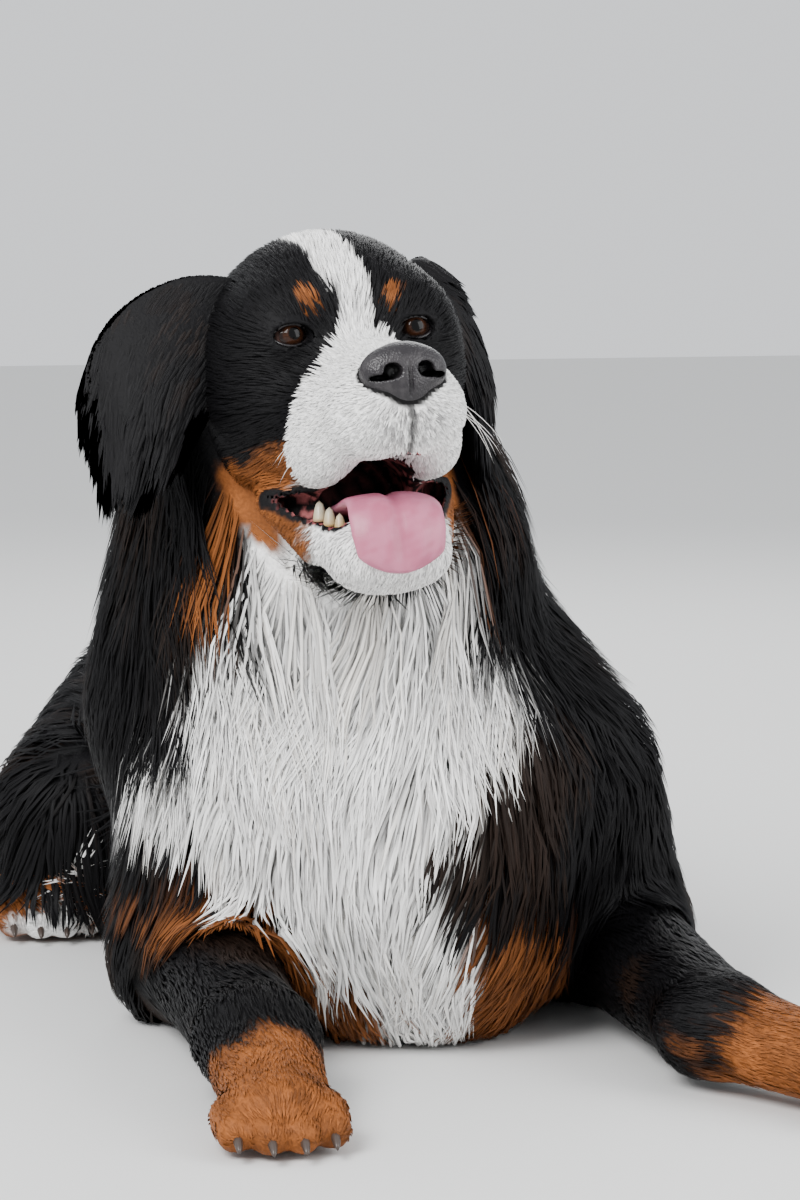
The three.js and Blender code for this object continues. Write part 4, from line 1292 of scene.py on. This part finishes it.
@dataclass
class Dog:
    """The whole animal: its skin, coat, eyes, nose, tongue, teeth, claws and whiskers."""

    markings: Markings = field(default_factory=Markings)
    head_box: tuple[Triple, Triple] = ((-185, -310, 310), (15, -35, 575))
    body_box: tuple[Triple, Triple] = ((-275, -440, -12), (290, 960, 540))
    guide_box: tuple[Triple, Triple] = ((-275, -440, -24), (290, 960, 600))
    head_step: float = 2.4 * MM
    body_step: float = 6.0 * MM
    guide_step: float = 16.0 * MM
    ear_tufts: int = 4400
    seed: int = 5

    def __post_init__(self) -> None:
        """Gathers the forms that the skin is cast over."""
        self.anatomy = Anatomy([HEAD, JAW, *BODY_FORMS])
        self.head_only = Anatomy([HEAD, JAW], join=6.0 * MM)
        self.body_only = Anatomy(BODY_FORMS)

    def head_distance(self, points: Points) -> Points:
        """Distance to the skin of the head and jaw alone, with the mouth open between them."""
        upper, lower = HEAD.distance(points, SKIN_GROW), JAW.distance(points, SKIN_GROW)
        gap = MOUTH.distance(points)
        return np.maximum(np.minimum(upper, lower), -gap)

    def body_distance(self, points: Points) -> Points:
        """Distance to the skin of the body alone."""
        return self.body_only.distance(points, SKIN_GROW)

    def coat_distance(self, points: Points) -> Points:
        """Distance that the tufts of the body follow, over head and body together."""
        return self.anatomy.distance(points, SKIN_GROW)

    def coat_depth(self, points: Points, on_head: Points) -> Points:
        """Depth of the coat over the skin, in metres.

        Args:
            points: World points on the skin.
            on_head: Which of them lie on the head or jaw.

        Returns:
            One depth for each point.
        """
        depth = np.empty(len(points))
        for anatomy, chosen in ((self.head_only, on_head), (self.body_only, ~on_head)):
            here = points[chosen]
            depth[chosen] = anatomy.distance(here, SKIN_GROW) - anatomy.distance(here, 1.0)
        return np.clip(depth, DEPTH_LOW, DEPTH_HIGH)

    def regions(self, points: Points) -> Points:
        """The name of the region of each point."""
        names = np.array([form.region.value for form in self.anatomy.forms])
        return names[self.anatomy.nearest(points)]

    def skin(self) -> bpy.types.Object:
        """One skin over the flesh: the head in a finer mesh, the body and the two ears."""
        head_low, head_high = (mm(*corner) for corner in self.head_box)
        head_points, head_faces = Moulder(self.head_distance, head_low, head_high, self.head_step).cast()
        body_low, body_high = (mm(*corner) for corner in self.body_box)
        body_points, body_faces = Moulder(self.body_distance, body_low, body_high, self.body_step).cast()
        body_points[:, 2] = np.maximum(body_points[:, 2], FLOOR_GAP)
        points, faces = [head_points, body_points], [head_faces, body_faces + len(head_points)]
        start = len(head_points) + len(body_points)
        for ear in EARS:
            ear_points, ear_faces = ear.leaf()
            points.append(ear_points)
            faces.append(ear_faces + start)
            start += len(ear_points)
        all_points, all_faces = np.concatenate(points), np.concatenate(faces)
        piece = mesh_piece("skin", all_points, all_faces)
        self.paint_skin(piece, all_points, len(head_points), len(body_points))
        piece.data.materials.append(SKIN_FINISH.make())
        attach(piece, "root")
        flesh = [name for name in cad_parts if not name.startswith(("eye_", "nose", "tongue"))]
        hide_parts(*flesh)
        LOG.info("skin: %d faces", len(all_faces))
        self.skin_points, self.skin_faces = all_points, all_faces
        self.head_count = len(head_faces)
        self.body_count = len(body_faces)
        return piece

    def paint_skin(self, piece: bpy.types.Object, points: Points, head: int, body: int) -> None:
        """Paints the markings, the lips, the gums, painted shade deep inside the mouth, and the rims of the
        eyes on the skin.
        """
        pelt = self.markings.pelt
        regions = self.regions(points)
        colours = self.markings.colour(points, regions)
        gap = MOUTH.distance(points)
        local = HEAD_POSE.local(points)
        on_head = np.arange(len(points)) < head
        mottle = smoothstep(ripple(points, 0.006, 21), -0.1, 0.35)[:, None]
        gum = blend(pelt.lip, pelt.gum, mottle)
        inner = smoothstep(gap, 0.0006, 0.0)[:, None]
        margin = np.where(regions == Region.JAW.value, JAW_LIP_PAINT, LIP_PAINT)
        lip = smoothstep(gap - margin, 0.0008, -0.0008) * on_head * near_lips(points, margin + 0.001)
        colours = blend(colours, pelt.lip, lip[:, None])
        colours = blend(colours, gum, inner)
        # painted shade: the inside of the mouth is darker towards the back
        deep = (smoothstep(local[:, 1], -30.0, 10.0)[:, None] * inner) * 0.8
        colours = colours * (1 - deep)
        for side in SIDES:
            eye = np.array([side * EYE_SPACING, EYE_FRONT, 0.0])
            rim = smoothstep(np.linalg.norm(local - eye, axis=1), EYE_BARE + 2.0, EYE_BARE)[:, None]
            colours = blend(colours, np.array(pelt.lip) * 0.6, rim * on_head[:, None])
        snout = (smoothstep(NOSE_PAD.distance(points), 0.0030, 0.0016) * on_head)[:, None]
        colours = blend(colours, np.array(pelt.lip) * 0.4, snout)
        colours[head + body:] = pelt.black
        paint(piece, colours)

    def bake_map(self) -> Callable[[Points], Points]:
        """A way to find the place of any root on an unwrap of the skin's own shape.

        Returns:
            A function from world points to places on the unwrap.
        """
        low, high = (mm(*corner) for corner in self.guide_box)
        points, faces = Moulder(self.coat_distance, low, high, self.guide_step).cast()
        guide = mesh_piece("unwrap_guide", points, faces)
        bpy.ops.object.select_all(action="DESELECT")
        bpy.context.view_layer.objects.active = guide
        guide.select_set(True)
        bpy.ops.object.mode_set(mode="EDIT")
        bpy.ops.mesh.select_all(action="SELECT")
        bpy.ops.uv.smart_project(angle_limit=math.radians(66.0), island_margin=0.004)
        bpy.ops.object.mode_set(mode="OBJECT")
        corners = np.empty(len(guide.data.loops) * 2, np.float32)
        guide.data.uv_layers.active.uv.foreach_get("vector", corners)
        centres = corners.reshape(-1, 4, 2).mean(axis=1)
        tree = BVHTree.FromPolygons([Vector(p) for p in points], faces.tolist())
        uv = corners.reshape(-1, 4, 2)
        bpy.data.objects.remove(guide)

        def find(roots: Points) -> Points:
            """Places of some roots on the unwrap, by the nearest face and the corners nearest the root."""
            number = np.array([tree.find_nearest(Vector(root))[2] for root in roots])
            corner_points = points[faces[number]]
            near = 1.0 / (np.linalg.norm(corner_points - roots[:, None], axis=2) + 1e-4) ** 2
            near /= near.sum(axis=1, keepdims=True)
            return blend((uv[number] * near[..., None]).sum(axis=1), centres[number], BAKE_INSET)

        return find

    def scatter(self) -> dict[str, Points]:
        """Roots of the coat, spread over the skin by the density of each region."""
        random = np.random.default_rng(self.seed)
        faces = self.skin_faces[: self.head_count + self.body_count]
        corners = self.skin_points[faces]
        one = np.cross(corners[:, 1] - corners[:, 0], corners[:, 2] - corners[:, 0])
        two = np.cross(corners[:, 2] - corners[:, 0], corners[:, 3] - corners[:, 0])
        area = (np.linalg.norm(one, axis=1) + np.linalg.norm(two, axis=1)) / 2.0
        normal = unit(one + two)
        middle = corners.mean(axis=1)
        regions = self.regions(middle)
        density = np.array([STYLES[Region(name)].per_cm2 for name in regions]) * 1e4
        on_head = np.arange(len(faces)) < self.head_count
        local = HEAD_POSE.local(middle)
        muzzle = smoothstep(local[:, 1], -10.0, -60.0) * on_head
        density *= 1.0 + 0.5 * muzzle
        in_body = self.body_only.distance(middle, SKIN_GROW) < BURIED_HEAD
        in_head = self.head_distance(middle) < BURIED_BODY
        hidden = np.where(on_head, in_body, in_head)
        hidden |= (middle[:, 2] < FLOOR_SIDE) & (normal[:, 2] < -0.4)
        lip = np.where(regions == Region.JAW.value, JAW_LIP_BARE, LIP_BARE)
        bare = near_lips(middle, lip)
        bare |= NOSE_PAD.distance(middle) < NOSE_BARE
        for side in SIDES:
            eye = np.array([side * EYE_SPACING, EYE_FRONT, 0.0])
            near = np.linalg.norm(local - eye, axis=1) < EYE_BARE
            bare |= on_head & near & (local[:, 1] < EYE_FRONT - 4.0)
        density[hidden | bare] = 0.0
        wanted = random.poisson(area * density)
        index = np.repeat(np.arange(len(faces)), wanted)
        u, w = random.random(len(index))[:, None], random.random(len(index))[:, None]
        c = corners[index]
        roots = blend(blend(c[:, 0], c[:, 1], u), blend(c[:, 3], c[:, 2], u), w)
        return {
            "roots": roots,
            "normals": normal[index],
            "regions": regions[index],
            "on_head": on_head[index],
        }

    def coat(self) -> None:
        """Grows the coat in pieces, each of one region and of no more than TUFT_TRIANGLES or so."""
        random = np.random.default_rng(self.seed + 1)
        spread = self.scatter()
        roots, normals, regions = spread["roots"], spread["normals"], spread["regions"]
        depth = self.coat_depth(roots, spread["on_head"])
        colours = self.markings.colour(roots, regions)
        colours = colours * random.uniform(0.72, 1.3, len(roots))[:, None]
        lies = coat_lie(roots, regions)
        bake = self.bake_map()(roots)
        material = COAT_FINISH.make()
        for region, name in COAT_NAMES.items():
            style = STYLES[region]
            follow = self.head_distance if region in (Region.HEAD, Region.JAW) else self.coat_distance
            index = np.flatnonzero(regions == region.value)
            triangles = 6 * style.rings - 2
            shares = max(1, math.ceil(len(index) * triangles / TUFT_TRIANGLES))
            order = np.argsort(roots[index] @ np.array([0.3, 1.0, 0.5]), kind="stable")
            for share, part in enumerate(np.array_split(index[order], shares)):
                vary = random.uniform(0.75, 1.15, len(part))
                tufts = Tufts(
                    roots[part], normals[part], lies[part], depth[part] * style.length * vary,
                    depth[part] * style.stand * random.uniform(0.55, 1.0, len(part)),
                    random.uniform(0.7, 1.3, len(part)) * style.width * MM,
                    colours[part], bake[part], style, follow, self.seed + 11 + share,
                )
                label = name if shares == 1 else f"{name}_{share + 1}"
                tufts.build(label, material)
        for number, ear in enumerate(EARS):
            ear.tufts(60 + number, self.ear_tufts).build(f"coat_ear_{ear.side}", material)

    def eyes(self) -> None:
        """Two glossy eyes with a dark pupil and an amber-brown iris."""
        glaze = plain_material("eye", Roughness=0.12, Specular_IOR_Level=0.1, Coat_Weight=0.14,
                               Coat_Roughness=0.02)
        glaze = painted(glaze)
        rim = plain_material("lid rim", Base_Color=(0.012, 0.010, 0.011, 1.0), Roughness=0.35)
        noise_bump(rim, "noise", 900.0, 0.3, 0.0005)
        for side, name in zip(SIDES, ("right", "left")):
            centre = np.array([side * EYE_SPACING, EYE_FRONT, 0.0])
            bpy.ops.object.select_all(action="DESELECT")
            bpy.ops.mesh.primitive_uv_sphere_add(segments=64, ring_count=48, radius=1.0)
            ball = bpy.context.active_object
            ball.name = f"eye_{name}_ball"
            rough = np.array([vertex.co[:] for vertex in ball.data.vertices])
            turned = np.stack([rough[:, 0], -rough[:, 2], rough[:, 1]], axis=1)
            gaze = unit(np.array([0.05 - 0.04 * side, -1.0, 0.16]))
            facing = turned @ gaze
            bulge = 1.0 + 0.07 * smoothstep(facing, 0.80, 0.97)
            world = HEAD_POSE.world(turned * (EYE_RADIUS * bulge)[:, None] + centre)
            ball.data.vertices.foreach_set("co", world.astype(np.float32).ravel())
            off = np.sqrt(np.clip(1.0 - facing ** 2, 0.0, 1.0)) + (facing < 0)
            fleck = ripple(turned * 0.1, 0.012, 31) * 0.18
            iris = np.array(FACE.iris) * (1.0 + fleck[:, None] * 2.0)
            ring = smoothstep(off, 0.50, 0.62)[:, None]
            colours = blend(iris, FACE.iris_edge, ring)
            white = smoothstep(off, 0.70, 0.80)[:, None]
            colours = blend(colours, FACE.eye_white, white)
            pupil = smoothstep(off, 0.33, 0.28)[:, None]
            colours = blend(colours, FACE.pupil, pupil)
            paint(ball, colours)
            ball.data.shade_smooth()
            ball.data.materials.append(glaze)
            ball.data.update()
            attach(ball, "root")
            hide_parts(f"eye_{name}")
            self.lid_rim(centre, name, rim)
        LOG.info("eyes: two, with rims")

    def lid_rim(self, centre: Points, name: str, material: bpy.types.Material) -> None:
        """The dark, leathery rim of the lids, as a tube round the opening."""
        turns, sides = 72, 10
        half_wide, above, below, tube = 11.8, 7.6, 6.4, 1.05
        round_eye = np.linspace(0, 2 * math.pi, turns, endpoint=False)
        wide = half_wide * np.cos(round_eye)
        lid = np.where(np.sin(round_eye) > 0, above, below)
        tall = lid * np.sin(round_eye) * (1 - 0.15 * np.cos(round_eye) ** 2) + 0.4
        reach = EYE_RADIUS + 1.0
        deep = -np.sqrt(np.maximum(reach ** 2 - wide ** 2 - tall ** 2, 2.0))
        ring = np.stack([wide, deep, tall], axis=1)
        ahead = unit(np.roll(ring, -1, axis=0) - np.roll(ring, 1, axis=0))
        out = unit(ring)
        side = np.cross(ahead, out)
        points = []
        for turn in np.linspace(0, 2 * math.pi, sides, endpoint=False):
            points.append(ring + tube * (math.cos(turn) * out + math.sin(turn) * side))
        points = HEAD_POSE.world(np.stack(points, axis=1).reshape(-1, 3) + centre)
        faces = []
        for i in range(turns):
            for j in range(sides):
                a, b = i * sides, ((i + 1) % turns) * sides
                faces.append((a + j, a + (j + 1) % sides, b + (j + 1) % sides, b + j))
        piece = mesh_piece(f"lid_rim_{name}", points, outward(points, np.array(faces)))
        piece.data.materials.append(material)
        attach(piece, "root")

    def nose(self) -> None:
        """The nose leather, with its nostrils and the cleft between them, and painted shade inside the
        nostrils.
        """
        low, high = HEAD_POSE.world([-34, -136, -60]), HEAD_POSE.world([34, -92, 2])
        low, high = np.minimum(low, high) - 0.006, np.maximum(low, high) + 0.006
        points, faces = Moulder(NOSE.distance, low, high, 1.1 * MM).cast()
        piece = mesh_piece("nose_leather", points, faces)
        local = HEAD_POSE.local(points)
        sheen = smoothstep(ripple(points, 0.005, 33), -0.4, 0.8)[:, None]
        colours = blend(FACE.nose, FACE.nose_sheen, sheen)
        # painted shade: the leather is darker inside the nostrils
        hole = np.min([cut.distance(points) for cut in NOSE_CUTS], axis=0)
        deep = smoothstep(local[:, 1], -123.5, -119.0) * smoothstep(hole, 0.0012, 0.0004)
        colours = colours * (1.0 - 0.92 * deep)[:, None]
        paint(piece, colours)
        leather = painted(plain_material("nose leather", Roughness=0.36, Specular_IOR_Level=0.35))
        noise_bump(leather, "cells", 720.0, 0.55, 0.0006)
        piece.data.materials.append(leather)
        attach(piece, "root")
        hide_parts("nose")

    def tongue(self) -> None:
        """The tongue, which hangs over the lower lip."""
        leaf = Tongue()
        points, faces, colours = leaf.surface()
        piece = mesh_piece("tongue_flesh", points, faces)
        paint(piece, colours)
        flesh = plain_material("tongue", Roughness=0.36, Specular_IOR_Level=0.35, Subsurface_Weight=0.1,
                               Subsurface_Radius=(0.006, 0.003, 0.002))
        flesh = painted(flesh)
        noise_bump(flesh, "noise", 1300.0, 0.35, 0.0005)
        piece.data.materials.append(flesh)
        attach(piece, "root")
        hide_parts("tongue")

    def cones(
        self, name: str, rows: list[tuple[Points, Points, float]], sides: int, bend: float
    ) -> bpy.types.Object:
        """Curved, tapered cones joined in one mesh, for teeth, claws and whiskers.

        Args:
            name: The piece's name.
            rows: World root, world vector to the tip and root radius of each.
            sides: How many sides each has.
            bend: How far the middle bows, as a share of the length.

        Returns:
            The new piece, without a material.
        """
        points, faces = [], []
        levels = 6
        for root, reach, radius in rows:
            across = unit(np.cross(reach, np.array([0.12, 0.31, 0.94])))
            over = unit(np.cross(across, reach))
            start = len(points)
            for level in range(levels):
                s = level / levels
                middle = root + reach * s + over * (bend * np.linalg.norm(reach) * 4 * s * (1 - s))
                r = radius * math.sqrt(1 - s ** 1.6)
                for k in range(sides):
                    turn = 2 * math.pi * k / sides
                    points.append(middle + r * (math.cos(turn) * across + math.sin(turn) * over))
            points += [root + reach, root]
            tip, base = start + levels * sides, start + levels * sides + 1
            for level in range(levels - 1):
                for k in range(sides):
                    a, b = start + level * sides + k, start + level * sides + (k + 1) % sides
                    faces += [(a, a + sides, b), (b, a + sides, b + sides)]
            for k in range(sides):
                a, b = start + (levels - 1) * sides + k, start + (levels - 1) * sides + (k + 1) % sides
                faces.append((a, tip, b))
                faces.append((start + k, start + (k + 1) % sides, base))
        points, faces = np.array(points), np.array(faces)
        return mesh_piece(name, points, outward(points, faces))

    def teeth(self) -> None:
        """The lower premolars that show on the right, and the lower left canine."""
        rows = []
        places = [(-32, -22, -117, 4.6, 14), (-29, -33, -120, 4.4, 13), (-26, -44, -124, 4.1, 13),
                  (-22, -54, -128, 3.4, 11), (20, -68, -134, 4.2, 27), (29, -33, -120, 4.6, 15)]
        for x, y, z, radius, tall in places:
            root = HEAD_POSE.world([x, y, z])
            rows.append((root, HEAD_POSE.direction([0.05 * -np.sign(x), 0.05, 1.0]) * tall * MM, radius * MM))
        piece = self.cones("teeth", rows, 14, 0.03)
        tall = HEAD_POSE.local(np.array([v.co[:] for v in piece.data.vertices]))[:, 2]
        stain = smoothstep(tall, -108.0, -124.0)[:, None]
        colours = blend(FACE.tooth, FACE.tooth_stain, stain)
        paint(piece, colours)
        enamel = painted(plain_material("tooth enamel", Roughness=0.22))
        noise_bump(enamel, "noise", 700.0, 0.15, 0.0004)
        piece.data.materials.append(enamel)
        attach(piece, "root")

    def claws(self) -> None:
        """Four dark claws on each foot."""
        ahead, down, length, droop, radius = 15.0, 5.0, 19.0, 6.5, 3.4
        rows = []
        for leg in (RIGHT_LEG, LEFT_LEG):
            for heel, tip in ((leg.wrist, leg.toe), (leg.hock, leg.hind_toe)):
                for middle, forward in toe_places(heel, tip):
                    root = (middle + forward * ahead - np.array([0, 0, down])) * MM
                    reach = (forward * length + np.array([0, 0, -droop])) * MM
                    rows.append((root, reach, radius * MM))
        piece = self.cones("claws", rows, 10, 0.08)
        horn = plain_material("claw horn", Base_Color=(0.05, 0.035, 0.028, 1.0), Roughness=0.35)
        noise_bump(horn, "noise", 500.0, 0.3, 0.0005)
        piece.data.materials.append(horn)
        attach(piece, "root")

    def whiskers(self) -> None:
        """Thin white whiskers on both sides of the muzzle."""
        random = np.random.default_rng(77)
        rows = []
        for side in SIDES:
            for row in range(6):
                root = np.array([side * 30.0, -78.0 - 3.2 * (row % 3) * 2.0, -46.0 - 5.0 * (row // 3)])
                root[0] = side * (36.0 - 2.0 * (row % 3))
                across, ahead, down = (random.uniform(*bounds) for bounds in WHISKER_REACH)
                reach = np.array([side * across, ahead, down])
                start = HEAD_POSE.world(root)
                here = HEAD.distance(start[None])
                start = start - gradient(HEAD.distance, start[None], here)[0] * (here[0] + 0.001)
                rows.append((start, HEAD_POSE.direction(reach) * MM, 0.26 * MM))
        piece = self.cones("whiskers", rows, 5, 0.07)
        white = plain_material("whisker", Base_Color=(0.8, 0.79, 0.76, 1.0), Roughness=0.4)
        noise_bump(white, "noise", 400.0, 0.1, 0.0002)
        piece.data.materials.append(white)
        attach(piece, "root")


@dataclass
class Studio:
    """The pale floor, the soft lights and the camera, placed to match the photograph."""

    camera_place: Triple = (-0.6933, -2.5659, 0.60)
    azimuth: float = -15.0
    down: float = 6.5
    lens: float = 113.1
    light_aim: Triple = (-0.03, 0.0, 0.25)

    def floor(self) -> None:
        """A plain pale floor."""
        bpy.ops.object.select_all(action="DESELECT")
        bpy.ops.mesh.primitive_plane_add(size=14.0, location=(0.0, 2.0, 0.0))
        ground = bpy.context.active_object
        ground.name = "floor"
        bpy.ops.object.transform_apply(location=True, rotation=True, scale=True)
        pale = plain_material("floor", Base_Color=(0.70, 0.70, 0.69, 1.0), Roughness=0.9)
        ground.data.materials.append(pale)

    def lights(self) -> None:
        """A large soft key, a fill and a rim light, in an even grey room."""
        world = bpy.data.worlds.new("room")
        bpy.context.scene.world = world
        world.use_nodes = True
        backdrop = world.node_tree.nodes["Background"]
        backdrop.inputs["Color"].default_value = (0.90, 0.92, 0.95, 1.0)
        backdrop.inputs["Strength"].default_value = 1.15
        rows = (
            ("key", (-1.9, -1.7, 2.4), 1.6, 150.0),
            ("fill", (1.9, -1.6, 1.3), 1.8, 50.0),
            ("rim", (0.9, 2.3, 2.0), 1.4, 35.0),
        )
        for name, place, size, power in rows:
            lamp = bpy.data.lights.new(name, "AREA")
            lamp.size = size
            lamp.energy = power
            light = bpy.data.objects.new(name, lamp)
            light.location = place
            aim = Vector(self.light_aim) - Vector(place)
            light.rotation_euler = aim.to_track_quat("-Z", "Y").to_euler()
            bpy.context.scene.collection.objects.link(light)

    def camera(self) -> None:
        """The camera, at the distance, height and heading assumed for the photograph."""
        data = bpy.data.cameras.new("camera")
        data.lens = self.lens
        data.sensor_width = 36.0
        data.clip_end = 50.0
        camera = bpy.data.objects.new("camera", data)
        camera.location = self.camera_place
        camera.rotation_euler = (math.radians(90.0 - self.down), 0.0, math.radians(self.azimuth))
        bpy.context.scene.collection.objects.link(camera)
        bpy.context.scene.camera = camera


def main() -> None:
    """Builds the studio and the dog, and reports each piece."""
    logging.basicConfig(level=logging.INFO, format="%(name)s %(message)s")
    studio = Studio()
    studio.camera()
    studio.floor()
    studio.lights()
    dog = Dog()
    dog.skin()
    dog.coat()
    dog.eyes()
    dog.nose()
    dog.tongue()
    dog.teeth()
    dog.claws()
    dog.whiskers()
    LOG.info("sizes written")


if __name__ == "__main__":
    main()
